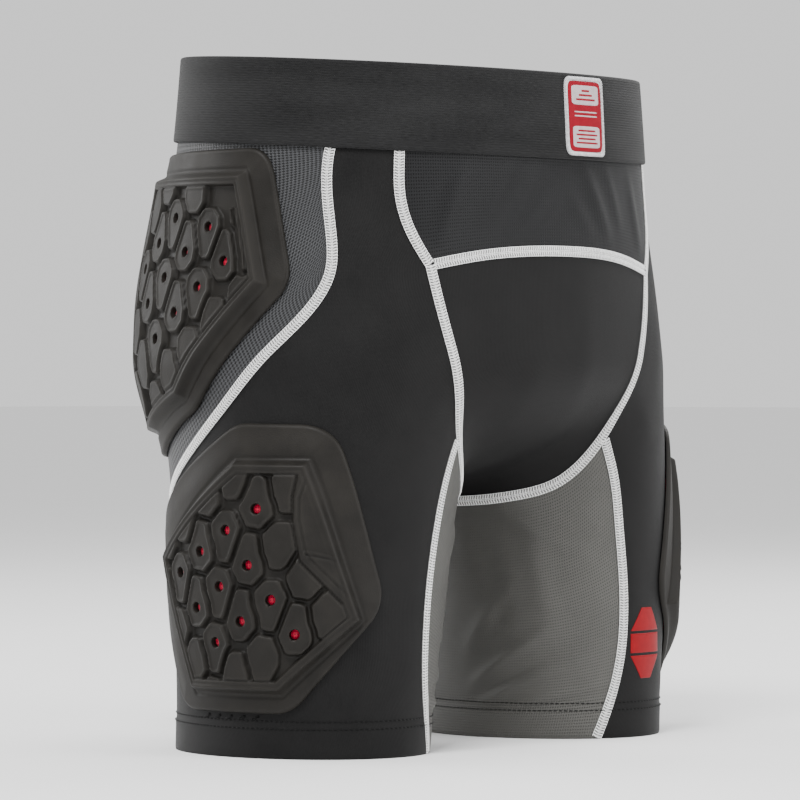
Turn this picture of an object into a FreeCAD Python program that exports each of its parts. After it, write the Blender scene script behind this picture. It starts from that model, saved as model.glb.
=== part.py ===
"""Padded impact shorts for skiing and snowboarding, as worn on an upright figure.

Frame: +Z up, the wearer faces -Y, +X is the wearer's left. The origin is on the floor plane of the two leg
hems, midway between the legs. All lengths are in millimetres.

Every cloth panel, seam and pad is a thin slab laid on one smooth "skin": the outside of the cloth. The skin
is the smooth union of an elliptic trunk and two elliptic legs, and a slab is bounded by the seam lines that
the real pieces are cut and sewn along. Left pieces are built, and right pieces are their mirror images.
"""
import FreeCAD, Part
import bisect
import math
import os
from FreeCAD import Vector

# ---------------------------------------------------------------- driving dimensions
BAND_LOW = 328.0          # lower edge of the waistband, at the side of the body
BAND_HEIGHT = 47.0
BAND_TILT = 0.06          # the waist is higher at the back than at the front, rise per mm of depth
BAND_LAP = 6.0            # the panels run up behind the waistband by this much
CROTCH_Z = 150.0          # inseam length
BOTTOM_START = 215.0      # height where the trunk starts to close towards the crotch
BLEND = 7.0               # softness of the fold where the legs meet the trunk

CLOTH = 1.0               # thickness of the stretch cloth
CLOTH_GAP = 0.25          # each panel stops this far short of its seam line
BAND_INSIDE = 0.2         # lifts of the waistband above the cloth
BAND_OUTSIDE = 2.4
LABEL_ASIDE = 16.0       # the label sits this far to the wearer's left of the middle
SEAM_WIDTH = 5.6          # flatlock seam
SEAM_LIFT = 0.2
SEAM_TOP = 1.05
SEAM_CLEAR = 3.4          # a seam that ends at another one stops this far from its line
HEM_FOLD = 17.0           # height of the stitched hem
STITCH_WIDTH = 0.9
STITCH_TOP = 0.45

LINER_LIFT = 0.25         # red mesh behind each pad
LINER_TOP = 0.6
PAD_LIFT = 0.8
FLANGE_TOP = 3.4          # rim of the pad
PLATEAU_TOP = 9.8         # moulded island of the pad
VENT_RADIUS = 2.9
THIGH_CENTRE = (-14.0, 101.0)  # angle round the leg and height of the thigh pad's centre
THIGH_STEP = 1.36              # mm along the thigh for a degree round the leg
HIP_CENTRE = (18.0, 246.0)
HIP_STEP = 1.62
TAIL_HEIGHT = 252.0

HEM_ROWS = (16.0, 20.0)   # heights of the hem's two rows of stitches
PRINT_CENTRE = (-84.3, 53.0)   # angle round the left leg and height of the printed mark
PRINT_STEP = 1.32
PRINT_TILES = {                # corners of the three tiles that make a tall hexagon: mm to the side and up
    "thigh_print_upper": [(-14, 7), (14, 7), (5, 20), (-5, 20)],
    "thigh_print_middle": [(-14, -5.5), (14, -5.5), (14, 5.5), (-14, 5.5)],
    "thigh_print_lower": [(-5, -20), (5, -20), (14, -7), (-14, -7)],
}
FRAME_DEPTH = 9.6        # the skin's depths are measured from a line this far behind the frame's origin

# elliptic sections: height, centre depth, half width, half depth
TRUNK = [(150, 5, 160, 116), (200, 5, 157.5, 117.5), (225, 5.5, 156, 119), (250, 6, 153, 119.5),
         (282, 4, 148.5, 117), (320, 1, 146, 113.5), (350, 0, 144.5, 111), (390, 0, 141, 108.5)]
TRUNK_POWER = 2.0         # above 2 the section is squarer than an ellipse
# height, centre x, centre depth, half width, half depth
LEG = [(-30, 99, -7, 60, 74), (0, 97, -8, 61.5, 75), (20, 96, -8.5, 62.5, 75.5), (60, 94.3, -9.5, 67.2, 76.5),
       (110, 91.3, -9.5, 72.6, 78.5), (150, 86.5, -8, 76.0, 83), (200, 81, -2, 76.5, 92), (250, 76, 2, 70, 94),
       (300, 72, 2, 60, 86), (340, 70, 2, 50, 76), (400, 70, 2, 40, 66)]


# ---------------------------------------------------------------- smooth profiles and the skin
class Profile:
    """Natural cubic spline through stations (t, values...), evaluated one t at a time."""

    def __init__(self, stations):
        self.t = [float(s[0]) for s in stations]
        self.columns = [[float(s[k]) for s in stations] for k in range(1, len(stations[0]))]
        self.bends = [self._bend(column) for column in self.columns]

    def _bend(self, y):
        """Second derivatives of the natural spline at the stations."""
        t, n = self.t, len(self.t)
        bend, work = [0.0] * n, [0.0] * n
        for i in range(1, n - 1):
            share = (t[i] - t[i - 1]) / (t[i + 1] - t[i - 1])
            pivot = share * bend[i - 1] + 2.0
            bend[i] = (share - 1.0) / pivot
            step = (y[i + 1] - y[i]) / (t[i + 1] - t[i]) - (y[i] - y[i - 1]) / (t[i] - t[i - 1])
            work[i] = (6.0 * step / (t[i + 1] - t[i - 1]) - share * work[i - 1]) / pivot
        for i in range(n - 2, -1, -1):
            bend[i] = bend[i] * bend[i + 1] + work[i]
        bend[0] = 0.0
        return bend

    def at(self, t):
        """All values at t, which is held inside the stations."""
        t = min(max(t, self.t[0]), self.t[-1])
        i = min(max(bisect.bisect_right(self.t, t) - 1, 0), len(self.t) - 2)
        h = self.t[i + 1] - self.t[i]
        a, b = (self.t[i + 1] - t) / h, (t - self.t[i]) / h
        cube_a, cube_b = (a ** 3 - a) * h * h / 6.0, (b ** 3 - b) * h * h / 6.0
        return [a * y[i] + b * y[i + 1] + cube_a * m[i] + cube_b * m[i + 1]
                for y, m in zip(self.columns, self.bends)]


trunk_profile = Profile(TRUNK)
leg_profile = Profile(LEG)


def skin(p):
    """Signed field, about the distance in mm outside the cloth, zero on it."""
    yc, a, b = trunk_profile.at(p.z)
    wide, deep = abs(p.x) / a, abs(p.y - yc) / b
    ring = (wide ** TRUNK_POWER + deep ** TRUNK_POWER) ** (1.0 / TRUNK_POWER)
    drop = max(0.0, (BOTTOM_START - p.z) / (BOTTOM_START - CROTCH_Z + BLEND / 2))
    trunk = (math.hypot(ring, drop) - 1.0) * (a + b) / 2
    cx, cy, a, b = leg_profile.at(p.z)
    legs = [(math.hypot((p.x - side * cx) / a, (p.y - cy) / b) - 1.0) * (a + b) / 2 for side in (1, -1)]
    low = min(trunk, *legs)
    total = sum(math.exp((low - f) / BLEND) for f in (trunk, *legs))
    return low - BLEND * math.log(total)


def gradient(p, step=0.05):
    """Slope of the skin field."""
    axes = (Vector(step, 0, 0), Vector(0, step, 0), Vector(0, 0, step))
    return Vector(*[(skin(p + d) - skin(p - d)) / (2 * step) for d in axes])


def normal(p):
    """Outward direction of the skin at p. It is level at the hem, so that the hem's foot is flat."""
    g = gradient(p)
    if p.z < 1.0:
        g.z = 0.0
    return g.normalize()


def settle(p):
    """The skin point nearest to p, along the field's slope."""
    for _ in range(7):
        g = gradient(p)
        p = p - g * (skin(p) / g.dot(g))
    return p


def level(p):
    """The skin point at p's own height, so that an edge keeps its height."""
    for _ in range(8):
        g = gradient(p)
        g.z = 0.0
        p = p - g * (skin(p) / g.dot(g))
    return p


def cast(start, direction, step=6.0):
    """The first crossing of the skin on a ray that starts inside it, by steps and then by halving."""
    low, high = 0.0, step
    while skin(start + direction * high) < 0:
        low, high = high, high + step
    for _ in range(28):
        middle = (low + high) / 2
        if skin(start + direction * middle) < 0:
            low = middle
        else:
            high = middle
    return start + direction * low


def front(x, z):
    """The point on the front of the shorts that is seen at (x, z)."""
    return cast(Vector(x, 0, z), Vector(0, -1, 0))


def back(x, z):
    """The point on the back of the shorts that is seen at (x, z)."""
    return cast(Vector(x, 0, z), Vector(0, 1, 0))


def around(degrees, z):
    """The point of the left half at an angle round the leg's own axis: 0 is the outer side, 90 the back."""
    cx, cy, _, _ = leg_profile.at(z)
    a = math.radians(degrees)
    return cast(Vector(cx, cy, z), Vector(math.cos(a), math.sin(a), 0))


def bearing(p, turn=0.0):
    """(angle, height) of a skin point, the inverse of around(). Turn shifts the cut of the circle."""
    cx, cy, _, _ = leg_profile.at(p.z)
    degrees = math.degrees(math.atan2(p.y - cy, p.x - cx))
    return ((degrees - turn) % 360.0 + turn, p.z)


def band_edge(y, rise=0.0):
    """Height of the waistband's lower edge, or of a line that much above it, at a depth."""
    return BAND_LOW + BAND_TILT * y + rise


def at_band(p, rise=0.0):
    """p moved to the height of a line along the waistband."""
    for _ in range(6):
        p = level(Vector(p.x, p.y, band_edge(p.y, rise)))
    return p


# ---------------------------------------------------------------- seam lines
def curve(guides, count):
    """A smooth line on the skin, near the guide points, as evenly spaced points."""
    lengths = [0.0]
    for p, q in zip(guides, guides[1:]):
        lengths.append(lengths[-1] + p.distanceToPoint(q))
    path = Profile([(s, p.x, p.y, p.z) for s, p in zip(lengths, guides)])
    fine = [settle(Vector(*path.at(lengths[-1] * k / 120.0))) for k in range(121)]
    return spaced(fine, count)


def spaced(line, count):
    """The line again, as count points at equal steps along it."""
    along = [0.0]
    for p, q in zip(line, line[1:]):
        along.append(along[-1] + p.distanceToPoint(q))
    out, i = [], 0
    for k in range(count):
        s = along[-1] * k / (count - 1)
        while i < len(line) - 2 and along[i + 1] < s:
            i += 1
        share = (s - along[i]) / max(along[i + 1] - along[i], 1e-9)
        out.append(line[i] + (line[i + 1] - line[i]) * share)
    return out


def shortened(line, start, end):
    """The line with lengths cut off its two ends."""
    path = spaced(line, 241)
    total = sum(p.distanceToPoint(q) for p, q in zip(path, path[1:]))
    first, last = round(240 * start / total), 240 - round(240 * end / total)
    return path[first:last + 1]


def mirrored(line):
    """A line or grid row on the other side of the body."""
    return [Vector(-p.x, p.y, p.z) for p in line]


def nearest(line, p):
    """Index of the line's point that is nearest to p."""
    return min(range(len(line)), key=lambda k: line[k].distanceToPoint(p))


# Seams of the left half. Where one ends on another, it ends on a point of that line.
yoke_corner = front(89, 262)
yoke_side = curve([at_band(front(100, 322), BAND_LAP), at_band(front(100, 322)), front(101, 300),
                   front(97.5, 280), yoke_corner], 33)
yoke_low = curve([yoke_corner, front(60, 267.5), front(0, 271), front(-60, 267.5), front(-89, 262)], 41)

back_line = curve([level(Vector(60, 60, 0)), around(120, 25), around(121, 55), around(118, 88), back(42, 121),
                   back(45, 150), back(49, 185), back(51, 215), back(49, 262), back(46, 300),
                   at_band(back(45, 334)), at_band(back(45, 334), BAND_LAP)], 121)
thigh_share = nearest(back_line, around(118, 88))
fold_share = nearest(back_line, back(42, 121))
thigh_corner, fold_corner = back_line[thigh_share], back_line[fold_share]
inseam_back = back_line[:thigh_share + 1]
seat_side = back_line[thigh_share:]
back_side = back_line[fold_share:]

under_line = curve([yoke_corner, front(86, 246), front(81, 226), front(74.5, 206), front(67, 187), front(60, 171),
                    front(50, 155), front(39, 143.5), front(27, 137.5), settle(Vector(16, 4, 134)),
                    settle(Vector(19, 26, 133)), settle(Vector(29, 41, 129)), fold_corner], 91)
crease_share = nearest(under_line, front(60, 171))
cross_share = nearest(under_line, settle(Vector(18, 22, 133)))
crease_corner, cross_end = under_line[crease_share], under_line[cross_share]
pouch_side = under_line[:cross_share + 1]
gusset_back = under_line[cross_share:]
cross_line = curve([mirrored([cross_end])[0], settle(Vector(-10, 24, 146)), settle(Vector(0, 24, 151)),
                    settle(Vector(10, 24, 146)), cross_end], 21)
fold_line = curve([mirrored([fold_corner])[0], settle(Vector(-20, 60, 142)), settle(Vector(0, 64, 155)),
                   settle(Vector(20, 60, 142)), fold_corner], 21)
inseam_front = curve([crease_corner, front(70, 146), front(76, 119), front(80, 94), front(82, 63),
                      front(81, 45), front(77.5, 26), level(Vector(73, -70, 0))], 41)
hip_seam = curve([at_band(front(125, 322), BAND_LAP), at_band(front(126, 322)), front(128, 300), front(128.5, 277),
                  front(131, 258), around(-43, 240), around(-26, 215), around(-4, 185), around(19, 160),
                  around(45, 137), around(72, 114), around(96, 98), thigh_corner], 81)


def hem_arc(start, end, count, turn=-180.0):
    """The hem's foot, from one point to another, at z = 0."""
    a, b = bearing(start, turn)[0], bearing(end, turn)[0]
    return [around(a + (b - a) * k / (count - 1.0), 0.0) for k in range(count)]


def band_arc(start, end, count, rise=BAND_LAP, middle=False):
    """A line along the waistband between two skin points, seen from the leg's axis or the middle of the body."""
    centre = Vector(0 if middle else 70, 0, start.z)
    a, b = (math.atan2(p.y - centre.y, p.x - centre.x) for p in (start, end))
    if middle and start.y < 0 and b > a + math.pi:
        b -= 2 * math.pi
    line = []
    for k in range(count):
        turn = a + (b - a) * k / (count - 1.0)
        line.append(at_band(cast(centre, Vector(math.cos(turn), math.sin(turn), 0)), rise))
    return line


def chart_line(start, end, count):
    """The line from one point of the leg to another that is straight in (angle, height)."""
    a, b = Vector(*bearing(start, -180.0), 0), Vector(*bearing(end, -180.0), 0)
    marks = [a + (b - a) * (k / (count - 1.0)) for k in range(count)]
    return [start] + [around(m.x, m.y) for m in marks[1:-1]] + [end]


# ---------------------------------------------------------------- slabs
def blended(left, right, low, high, rows, columns, turn=-180.0, wrap=True):
    """A grid of skin points between four boundary lines, by the Coons rule.

    The rule is applied to (angle, height) round the leg where the piece wraps, and else to the points.
    Left and right run upwards, low and high run from left to right.
    """
    sides = [spaced(line, n) for line, n in ((left, rows), (right, rows), (low, columns), (high, columns))]
    if wrap:
        sides = [[Vector(*bearing(p, turn), 0) for p in line] for line in sides]
    west, east, south, north = sides
    grid = []
    for i in range(rows):
        t, row = i / (rows - 1.0), []
        for j in range(columns):
            s = j / (columns - 1.0)
            corners = (south[0] * (1 - s) + south[-1] * s) * (1 - t) + (north[0] * (1 - s) + north[-1] * s) * t
            p = west[i] * (1 - s) + east[i] * s + south[j] * (1 - t) + north[j] * t - corners
            row.append(around(p.x, p.y) if wrap else settle(p))
        grid.append(row)
    return grid


def trimmed(patches, gap=CLOTH_GAP):
    """A column of grids, lowest first, with the outer edges moved inwards. A foot at z = 0 keeps its height."""
    def pulled(edge, inner):
        out = []
        for p, q in zip(edge, inner):
            q = p + (q - p).normalize() * gap
            out.append(level(q) if p.z < 0.5 else settle(q))
        return out

    out = []
    for k, grid in enumerate(patches):
        rows = [list(row) for row in grid]
        if k == 0 and rows[0][0].z > 0.5:
            rows[0] = pulled(rows[0], rows[1])
        if k == len(patches) - 1:
            rows[-1] = pulled(rows[-1], rows[-2])
        columns = [list(c) for c in zip(*rows)]
        columns[0] = pulled(columns[0], columns[1])
        columns[-1] = pulled(columns[-1], columns[-2])
        out.append([list(row) for row in zip(*columns)])
    for below, above in zip(out, out[1:]):
        above[0] = below[-1]
    return out


def threaded(points):
    """A smooth curve through points, one unit of its parameter from each to the next."""
    c = Part.BSplineCurve()
    c.interpolate(Points=points, Parameters=[float(k) for k in range(len(points))])
    return c


def surface(grid):
    """A smooth surface through a grid. Two grids that share a row have exactly the same edge there."""
    rows = [threaded(row) for row in grid]
    columns = [threaded([row.getPole(k) for row in rows]) for k in range(1, rows[0].NbPoles + 1)]
    across, up = rows[0], columns[0]
    poles = [[c.getPole(k) for c in columns] for k in range(1, up.NbPoles + 1)]
    s = Part.BSplineSurface()
    s.buildFromPolesMultsKnots(poles, up.getMultiplicities(), across.getMultiplicities(), up.getKnots(),
                               across.getKnots(), False, False, up.Degree, across.Degree)
    return s


def solid_of(faces):
    """One closed solid from faces that meet edge to edge."""
    sewn = Part.Compound(faces)
    sewn.sewShape()
    solid = Part.Solid(sewn.Shells[0] if sewn.Shells else sewn)
    if solid.Volume < 0:
        solid.reverse()
    return solid


def slab(patches, low, high):
    """A sheet of material on the skin, between two lifts above it, from a column of grids that share rows."""
    faces = []
    for k, grid in enumerate(patches):
        normals = [[normal(p) for p in row] for row in grid]
        sides = [surface([[p + n * lift for p, n in zip(row, ahead)] for row, ahead in zip(grid, normals)])
                 for lift in (low, high)]
        borders = []
        for s in sides:
            u0, u1, v0, v1 = s.bounds()
            ends = [s.uIso(u0)] if k == 0 else []
            ends += [s.uIso(u1)] if k == len(patches) - 1 else []
            borders.append(ends + [s.vIso(v0), s.vIso(v1)])
        faces += [s.toShape() for s in sides] + [a.makeRuledSurface(b).toShape() for a, b in zip(*borders)]
    return solid_of(faces)


def strip_grid(line, width, count):
    """Three rows of skin points along a line: its two sides and its middle."""
    line = spaced(line, count)
    rows = [[], [], []]
    for i, p in enumerate(line):
        along = (line[min(i + 1, count - 1)] - line[max(i - 1, 0)]).normalize()
        across = normal(p).cross(along)
        if p.z < 0.5:
            across.z = 0.0
        across.normalize()
        for k, side in enumerate((-0.5, 0.0, 0.5)):
            q = p + across * (side * width)
            rows[k].append(level(q) if p.z < 0.5 else settle(q))
    return rows


def seam(line, start=0.0, end=0.0, width=SEAM_WIDTH, low=SEAM_LIFT, high=SEAM_TOP):
    """A flatlock seam: a low ridge of thread over the two edges it joins."""
    path = shortened(line, start, end)
    length = sum(p.distanceToPoint(q) for p, q in zip(path, path[1:]))
    return slab([strip_grid(path, width, max(6, round(length / 9)))], low, high)


# ---------------------------------------------------------------- pads
class Pad:
    """A moulded foam pad: a thin rim, a thick island, and vents through it to a red mesh.

    Outlines are polygons in the pad's own plane: a towards the front and b up, from the pad's centre. Their
    corners are rounded, and place(a, b) lays the plane on the skin. A grid's four sides meet at `corners`.
    """

    def __init__(self, place, rim, rim_round, island, vents, corners):
        self.place, self.rim, self.rim_round = place, rim, rim_round
        self.island, self.vents, self.corners = island, vents, corners

    def outline(self, polygon, radius, count=120):
        """Evenly spaced points round a polygon, its corners rounded."""
        line, n = [], len(polygon)
        for i in range(n):
            before, here, after = (Vector(*polygon[(i + k) % n], 0) for k in (-1, 0, 1))
            u, v = (here - before).normalize(), (after - here).normalize()
            half = math.acos(max(-1.0, min(1.0, u.dot(v)))) / 2
            reach = min(radius * math.tan(half), 0.46 * min((here - before).Length, (after - here).Length))
            for k in range(9):
                t = k / 8.0
                line.append((here - u * reach) * (1 - t) ** 2 + here * (2 * t * (1 - t)) + (here + v * reach) * t * t)
        line.append(line[0])
        return spaced(line, count + 1)[:-1]

    def grid(self, polygon, radius, n):
        """Skin points inside an outline, filled in by the Coons rule."""
        line = self.outline(polygon, radius)
        starts = [min(range(len(line)), key=lambda k, c=c: line[k].distanceToPoint(Vector(*c, 0)))
                  for c in self.corners]
        sides = []
        for i in range(4):
            first, last = starts[i], starts[(i + 1) % 4]
            last += len(line) if last <= first else 0
            sides.append(spaced([line[k % len(line)] for k in range(first, last + 1)], n))
        south, east, north, west = sides[0], sides[1], sides[2][::-1], sides[3][::-1]
        rows = []
        for i in range(n):
            t, row = i / (n - 1.0), []
            for j in range(n):
                s = j / (n - 1.0)
                corners = (south[0] * (1 - s) + south[-1] * s) * (1 - t) + (north[0] * (1 - s) + north[-1] * s) * t
                p = west[i] * (1 - s) + east[i] * s + south[j] * (1 - t) + north[j] * t - corners
                row.append(self.place(p.x, p.y))
            rows.append(row)
        return rows

    def shrunk(self, polygon, inset):
        """The polygon moved inwards by an inset, side by side."""
        n, out = len(polygon), []
        for i in range(n):
            before, here, after = (Vector(*polygon[(i + k) % n], 0) for k in (-1, 0, 1))
            u, v = (here - before).normalize(), (after - here).normalize()
            inward = Vector(-u.y - v.y, u.x + v.x, 0)
            q = here + inward * (inset / (1.0 + u.dot(v)))
            out.append((q.x, q.y))
        return out

    def foam(self):
        """The moulded pad, one piece, with its vents."""
        rim = slab([self.grid(self.rim, self.rim_round, 15)], PAD_LIFT, FLANGE_TOP)
        body = rim.fuse(slab([self.grid(self.island, 7.0, 15)], (PAD_LIFT + FLANGE_TOP) / 2, PLATEAU_TOP))
        drills = []
        for a, b in self.vents:
            p = self.place(a, b)
            drills.append(Part.makeCylinder(VENT_RADIUS, PLATEAU_TOP + 4, p - normal(p) * 1.0, normal(p)))
        return body.cut(Part.Compound(drills)).Solids[0]

    def liner(self):
        """The red mesh behind the vents."""
        return slab([self.grid(self.shrunk(self.rim, 7.0), self.rim_round, 17)], LINER_LIFT, LINER_TOP)


def lattice(first, along, across, places):
    """Vent centres on the moulded pattern's slanting lattice."""
    return [(first[0] + along[0] * i + across[0] * j, first[1] + along[1] * i + across[1] * j) for i, j in places]


def on_thigh(a, b):
    """A skin point of the thigh pad's plane."""
    return around(THIGH_CENTRE[0] - a / THIGH_STEP, THIGH_CENTRE[1] + b)


def on_hip(a, b):
    """A skin point of the hip pad's plane."""
    return around(HIP_CENTRE[0] - a / HIP_STEP, HIP_CENTRE[1] + b)


def on_tail(a, b):
    """A skin point of the tailbone pad's plane."""
    return back(a, TAIL_HEIGHT + b)


thigh_pad = Pad(
    on_thigh,
    rim=[(-58, -77), (34, -77), (84, -19), (50, 76), (-2, 77), (-90, 23), (-90, -18)], rim_round=24.0,
    island=[(-38, -66), (28, -66), (70, -27), (38, 57), (-2, 57), (-66, 6)],
    vents=lattice((12, 31.5), (-17.6, -11.4), (13.5, -18.0),
                  [(0, 0), (1, 0), (2, 0), (3, 0), (1, 1), (2, 1), (3, 1), (1, 2), (2, 2), (3, 2), (1, 3)]),
    corners=[(-58, -77), (84, -19), (50, 76), (-90, 23)])
hip_pad = Pad(
    on_hip,
    rim=[(-76, -88), (-44, -86), (15, -61), (87, 6), (66, 79), (-84, 79)], rim_round=20.0,
    island=[(-62, -74), (-42, -72), (8, -54), (70, 5), (51, 66), (-70, 66)],
    vents=lattice((28, 36), (-18.6, -13.5), (15.0, -19.0),
                  [(0, 0), (1, 0), (2, 0), (3, 0), (0, 1), (1, 1), (2, 1), (3, 1), (1, -1), (2, -1), (3, -1)]),
    corners=[(-76, -88), (87, 6), (66, 79), (-84, 79)])
tail_pad = Pad(
    on_tail,
    rim=[(-20, -66), (20, -66), (38, -10), (36, 58), (-36, 58), (-38, -10)], rim_round=18.0,
    island=[(-14, -54), (14, -54), (29, -8), (27, 47), (-27, 47), (-29, -8)],
    vents=[(-13, 30), (13, 30), (0, 12), (-13, -6), (13, -6), (0, -24)],
    corners=[(-20, -66), (20, -66), (36, 58), (-36, 58)])


# ---------------------------------------------------------------- the cloth panels
def leg_panel():
    """The black leg panel: round the outer thigh, and up to the waistband beside the yoke."""
    columns = 19
    mid = nearest(inseam_front, inseam_front[0] + (inseam_front[-1] - inseam_front[0]) * 0.5)
    turn_back, turn_front = nearest(hip_seam, around(2, 180)), nearest(hip_seam, front(129, 262))
    low_line = chart_line(inseam_front[mid], thigh_corner, 41)
    crease_line = chart_line(crease_corner, hip_seam[turn_back], 31)
    corner_line = chart_line(yoke_corner, hip_seam[turn_front], 13)
    return [blended(inseam_front[:mid - 1:-1], inseam_back, hem_arc(inseam_front[-1], inseam_back[0], 61), low_line,
                    9, columns),
            blended(inseam_front[mid::-1], hip_seam[:turn_back - 1:-1], low_line, crease_line, 9, columns),
            blended(pouch_side[crease_share::-1], hip_seam[turn_back:turn_front - 1:-1], crease_line, corner_line,
                    9, columns),
            blended(yoke_side[::-1], hip_seam[turn_front::-1], corner_line, band_arc(yoke_side[0], hip_seam[0], 9),
                    7, columns)]


def hip_panel():
    """The mesh over the hip and the seat, down to the fold under the seat."""
    turn = nearest(hip_seam, front(131, 256))
    return [blended(hip_seam[turn::-1], seat_side, hip_seam[turn:], band_arc(hip_seam[0], seat_side[-1], 31), 24, 18)]


def inner_thigh():
    """The grey mesh inside the thigh."""
    top = gusset_back[::-1] + pouch_side[:crease_share - 1:-1][1:]
    inner_side = back_line[:fold_share + 1]
    return [blended(inner_side, inseam_front[::-1], hem_arc(inseam_back[0], inseam_front[-1], 41, 0.0), top,
                    17, 18, turn=0.0)]


def yoke():
    """The mesh panel under the front of the waistband."""
    right = yoke_side[::-1]
    top = band_arc(mirrored(yoke_side)[0], yoke_side[0], 31, middle=True)
    return [blended(mirrored(right), right, yoke_low[::-1], top, 9, 17, wrap=False)]


def pouch():
    """The black front panel, from the yoke to the short seam under the crotch."""
    right = pouch_side[::-1]
    return [blended(mirrored(right), right, cross_line, yoke_low[::-1], 27, 15, wrap=False)]


def back_centre():
    """The centre panel of the seat, from the short seam under the crotch to the back of the waistband."""
    top = band_arc(mirrored(back_side)[-1], back_side[-1], 21, middle=True)
    return [blended(mirrored(gusset_back), gusset_back, cross_line, fold_line, 7, 13, wrap=False),
            blended(mirrored(back_side), back_side, fold_line, top, 19, 13, wrap=False)]


def waistband():
    """The wide elastic: a closed ring that stands a little outside the cloth."""
    def drum(lift, over):
        wires = []
        for rise in (-over, BAND_HEIGHT / 3, 2 * BAND_HEIGHT / 3, BAND_HEIGHT + over):
            ring = []
            for k in range(36):
                a = math.radians(10.0 * k)
                p = at_band(cast(Vector(0, 0, BAND_LOW), Vector(math.sin(a), -math.cos(a), 0)), rise)
                n = gradient(p)
                n.z = 0.0
                q = p + n.normalize() * lift
                ring.append(Vector(q.x, q.y, band_edge(q.y, rise)))
            c = Part.BSplineCurve()
            c.interpolate(ring, PeriodicFlag=True)
            wires.append(Part.Wire(c.toShape()))
        return Part.makeLoft(wires, True, False)

    return drum(BAND_OUTSIDE, 0.0).cut(drum(BAND_INSIDE, 6.0)).Solids[0]


# ---------------------------------------------------------------- label, print and stitching
def patch_grid(place, corners, n=7):
    """A grid between four corners of a flat outline, laid on the skin."""
    (a0, b0), (a1, b1), (a2, b2), (a3, b3) = corners
    rows = []
    for i in range(n):
        t = i / (n - 1.0)
        row = []
        for j in range(n):
            s = j / (n - 1.0)
            weights = ((1 - s) * (1 - t), s * (1 - t), s * t, (1 - s) * t)
            row.append(place(sum(w * a for w, a in zip(weights, (a0, a1, a2, a3))),
                             sum(w * b for w, b in zip(weights, (b0, b1, b2, b3)))))
        rows.append(row)
    return rows


def on_label(a, b):
    """A point of the waistband's front from the label's centre, which is a little to the wearer's left."""
    p = front(LABEL_ASIDE + a, BAND_LOW + BAND_HEIGHT / 2 + b)
    return level(Vector(p.x, p.y, band_edge(p.y, BAND_HEIGHT / 2 + b)))


def on_print(a, b):
    """A point of the left thigh's front from the middle of the print."""
    return around(PRINT_CENTRE[0] + a / PRINT_STEP, PRINT_CENTRE[1] + b)


def box_corners(width, height, b=0.0):
    """Corners of a rectangle whose centre is b above the plane's centre."""
    return [(-width / 2, b - height / 2), (width / 2, b - height / 2), (width / 2, b + height / 2),
            (-width / 2, b + height / 2)]


def rounded(shape, reach):
    """The shape with its short upright edges rounded."""
    short = [e for e in shape.Edges if e.Length < 2.0]
    return shape.makeFillet(reach, short)


def hem_stitching():
    """Two rows of stitches round the hem, broken where the two inseams cross them."""
    pieces = []
    for height in HEM_ROWS:
        ends = [bearing(min(line, key=lambda p: abs(p.z - height)), 0.0)[0] for line in (inseam_back, inseam_front)]
        clear = math.degrees((SEAM_WIDTH / 2 + 0.7) / 70.0)
        for start, end in ((ends[0] + clear, ends[1] - clear), (ends[1] + clear, ends[0] + 360 - clear)):
            count = max(8, round((end - start) / 8))
            line = [around(start + (end - start) * k / (count - 1.0), height) for k in range(count)]
            pieces.append(slab([strip_grid(line, STITCH_WIDTH, count)], SEAM_LIFT, STITCH_TOP))
    return Part.Compound(pieces)


# ---------------------------------------------------------------- the whole part
def built_parts():
    """Every node's shape by name."""
    parts = {"waistband": waistband()}

    def both(name, shape):
        """A left piece and its mirror image."""
        parts["left_" + name] = shape
        parts["right_" + name] = shape.mirror(Vector(0, 0, 0), Vector(1, 0, 0))

    for name, patches in (("front_yoke_mesh", yoke()), ("front_pouch", pouch()), ("back_centre_panel", back_centre())):
        parts[name] = slab(trimmed(patches), -CLOTH, 0.0)
    for name, patches in (("leg_panel", leg_panel()), ("hip_panel_mesh", hip_panel()),
                          ("inner_thigh_mesh", inner_thigh())):
        both(name, slab(trimmed(patches), -CLOTH, 0.0))

    both("thigh_pad", thigh_pad.foam())
    both("thigh_pad_liner", thigh_pad.liner())
    both("hip_pad", hip_pad.foam())
    both("hip_pad_liner", hip_pad.liner())
    parts["tailbone_pad"] = tail_pad.foam()
    parts["tailbone_pad_liner"] = tail_pad.liner()

    below_band = BAND_LAP + 1.0
    both("yoke_side_seam", seam(yoke_side, below_band, SEAM_CLEAR))
    parts["yoke_seam"] = seam(yoke_low, SEAM_CLEAR, SEAM_CLEAR)
    both("pouch_seam", seam(under_line, 0.2, SEAM_CLEAR))
    both("inseam_front_seam", seam(inseam_front, SEAM_CLEAR + 1.5, 0.0))
    both("hip_seam", seam(hip_seam, below_band, SEAM_CLEAR))
    both("back_seam", seam(back_line, 0.0, below_band))
    parts["crotch_cross_seam"] = seam(cross_line, SEAM_CLEAR, SEAM_CLEAR, low=SEAM_LIFT + 0.1)
    both("hem_stitching", hem_stitching())

    label_low = BAND_OUTSIDE + 0.1
    parts["label_backing"] = rounded(slab([patch_grid(on_label, box_corners(34, 43))], label_low, label_low + 0.8), 3.0)
    parts["label_field"] = rounded(slab([patch_grid(on_label, box_corners(30.5, 39.5))], label_low + 0.85,
                                        label_low + 1.15), 1.6)
    for name, b in (("label_block_upper", 10.5), ("label_block_lower", -10.5)):
        parts[name] = slab([patch_grid(on_label, box_corners(21, 11, b))], label_low + 1.2, label_low + 1.5)
    for name, corners in PRINT_TILES.items():
        parts[name] = slab([patch_grid(on_print, corners)], 0.05, 0.3)
    return parts


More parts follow.
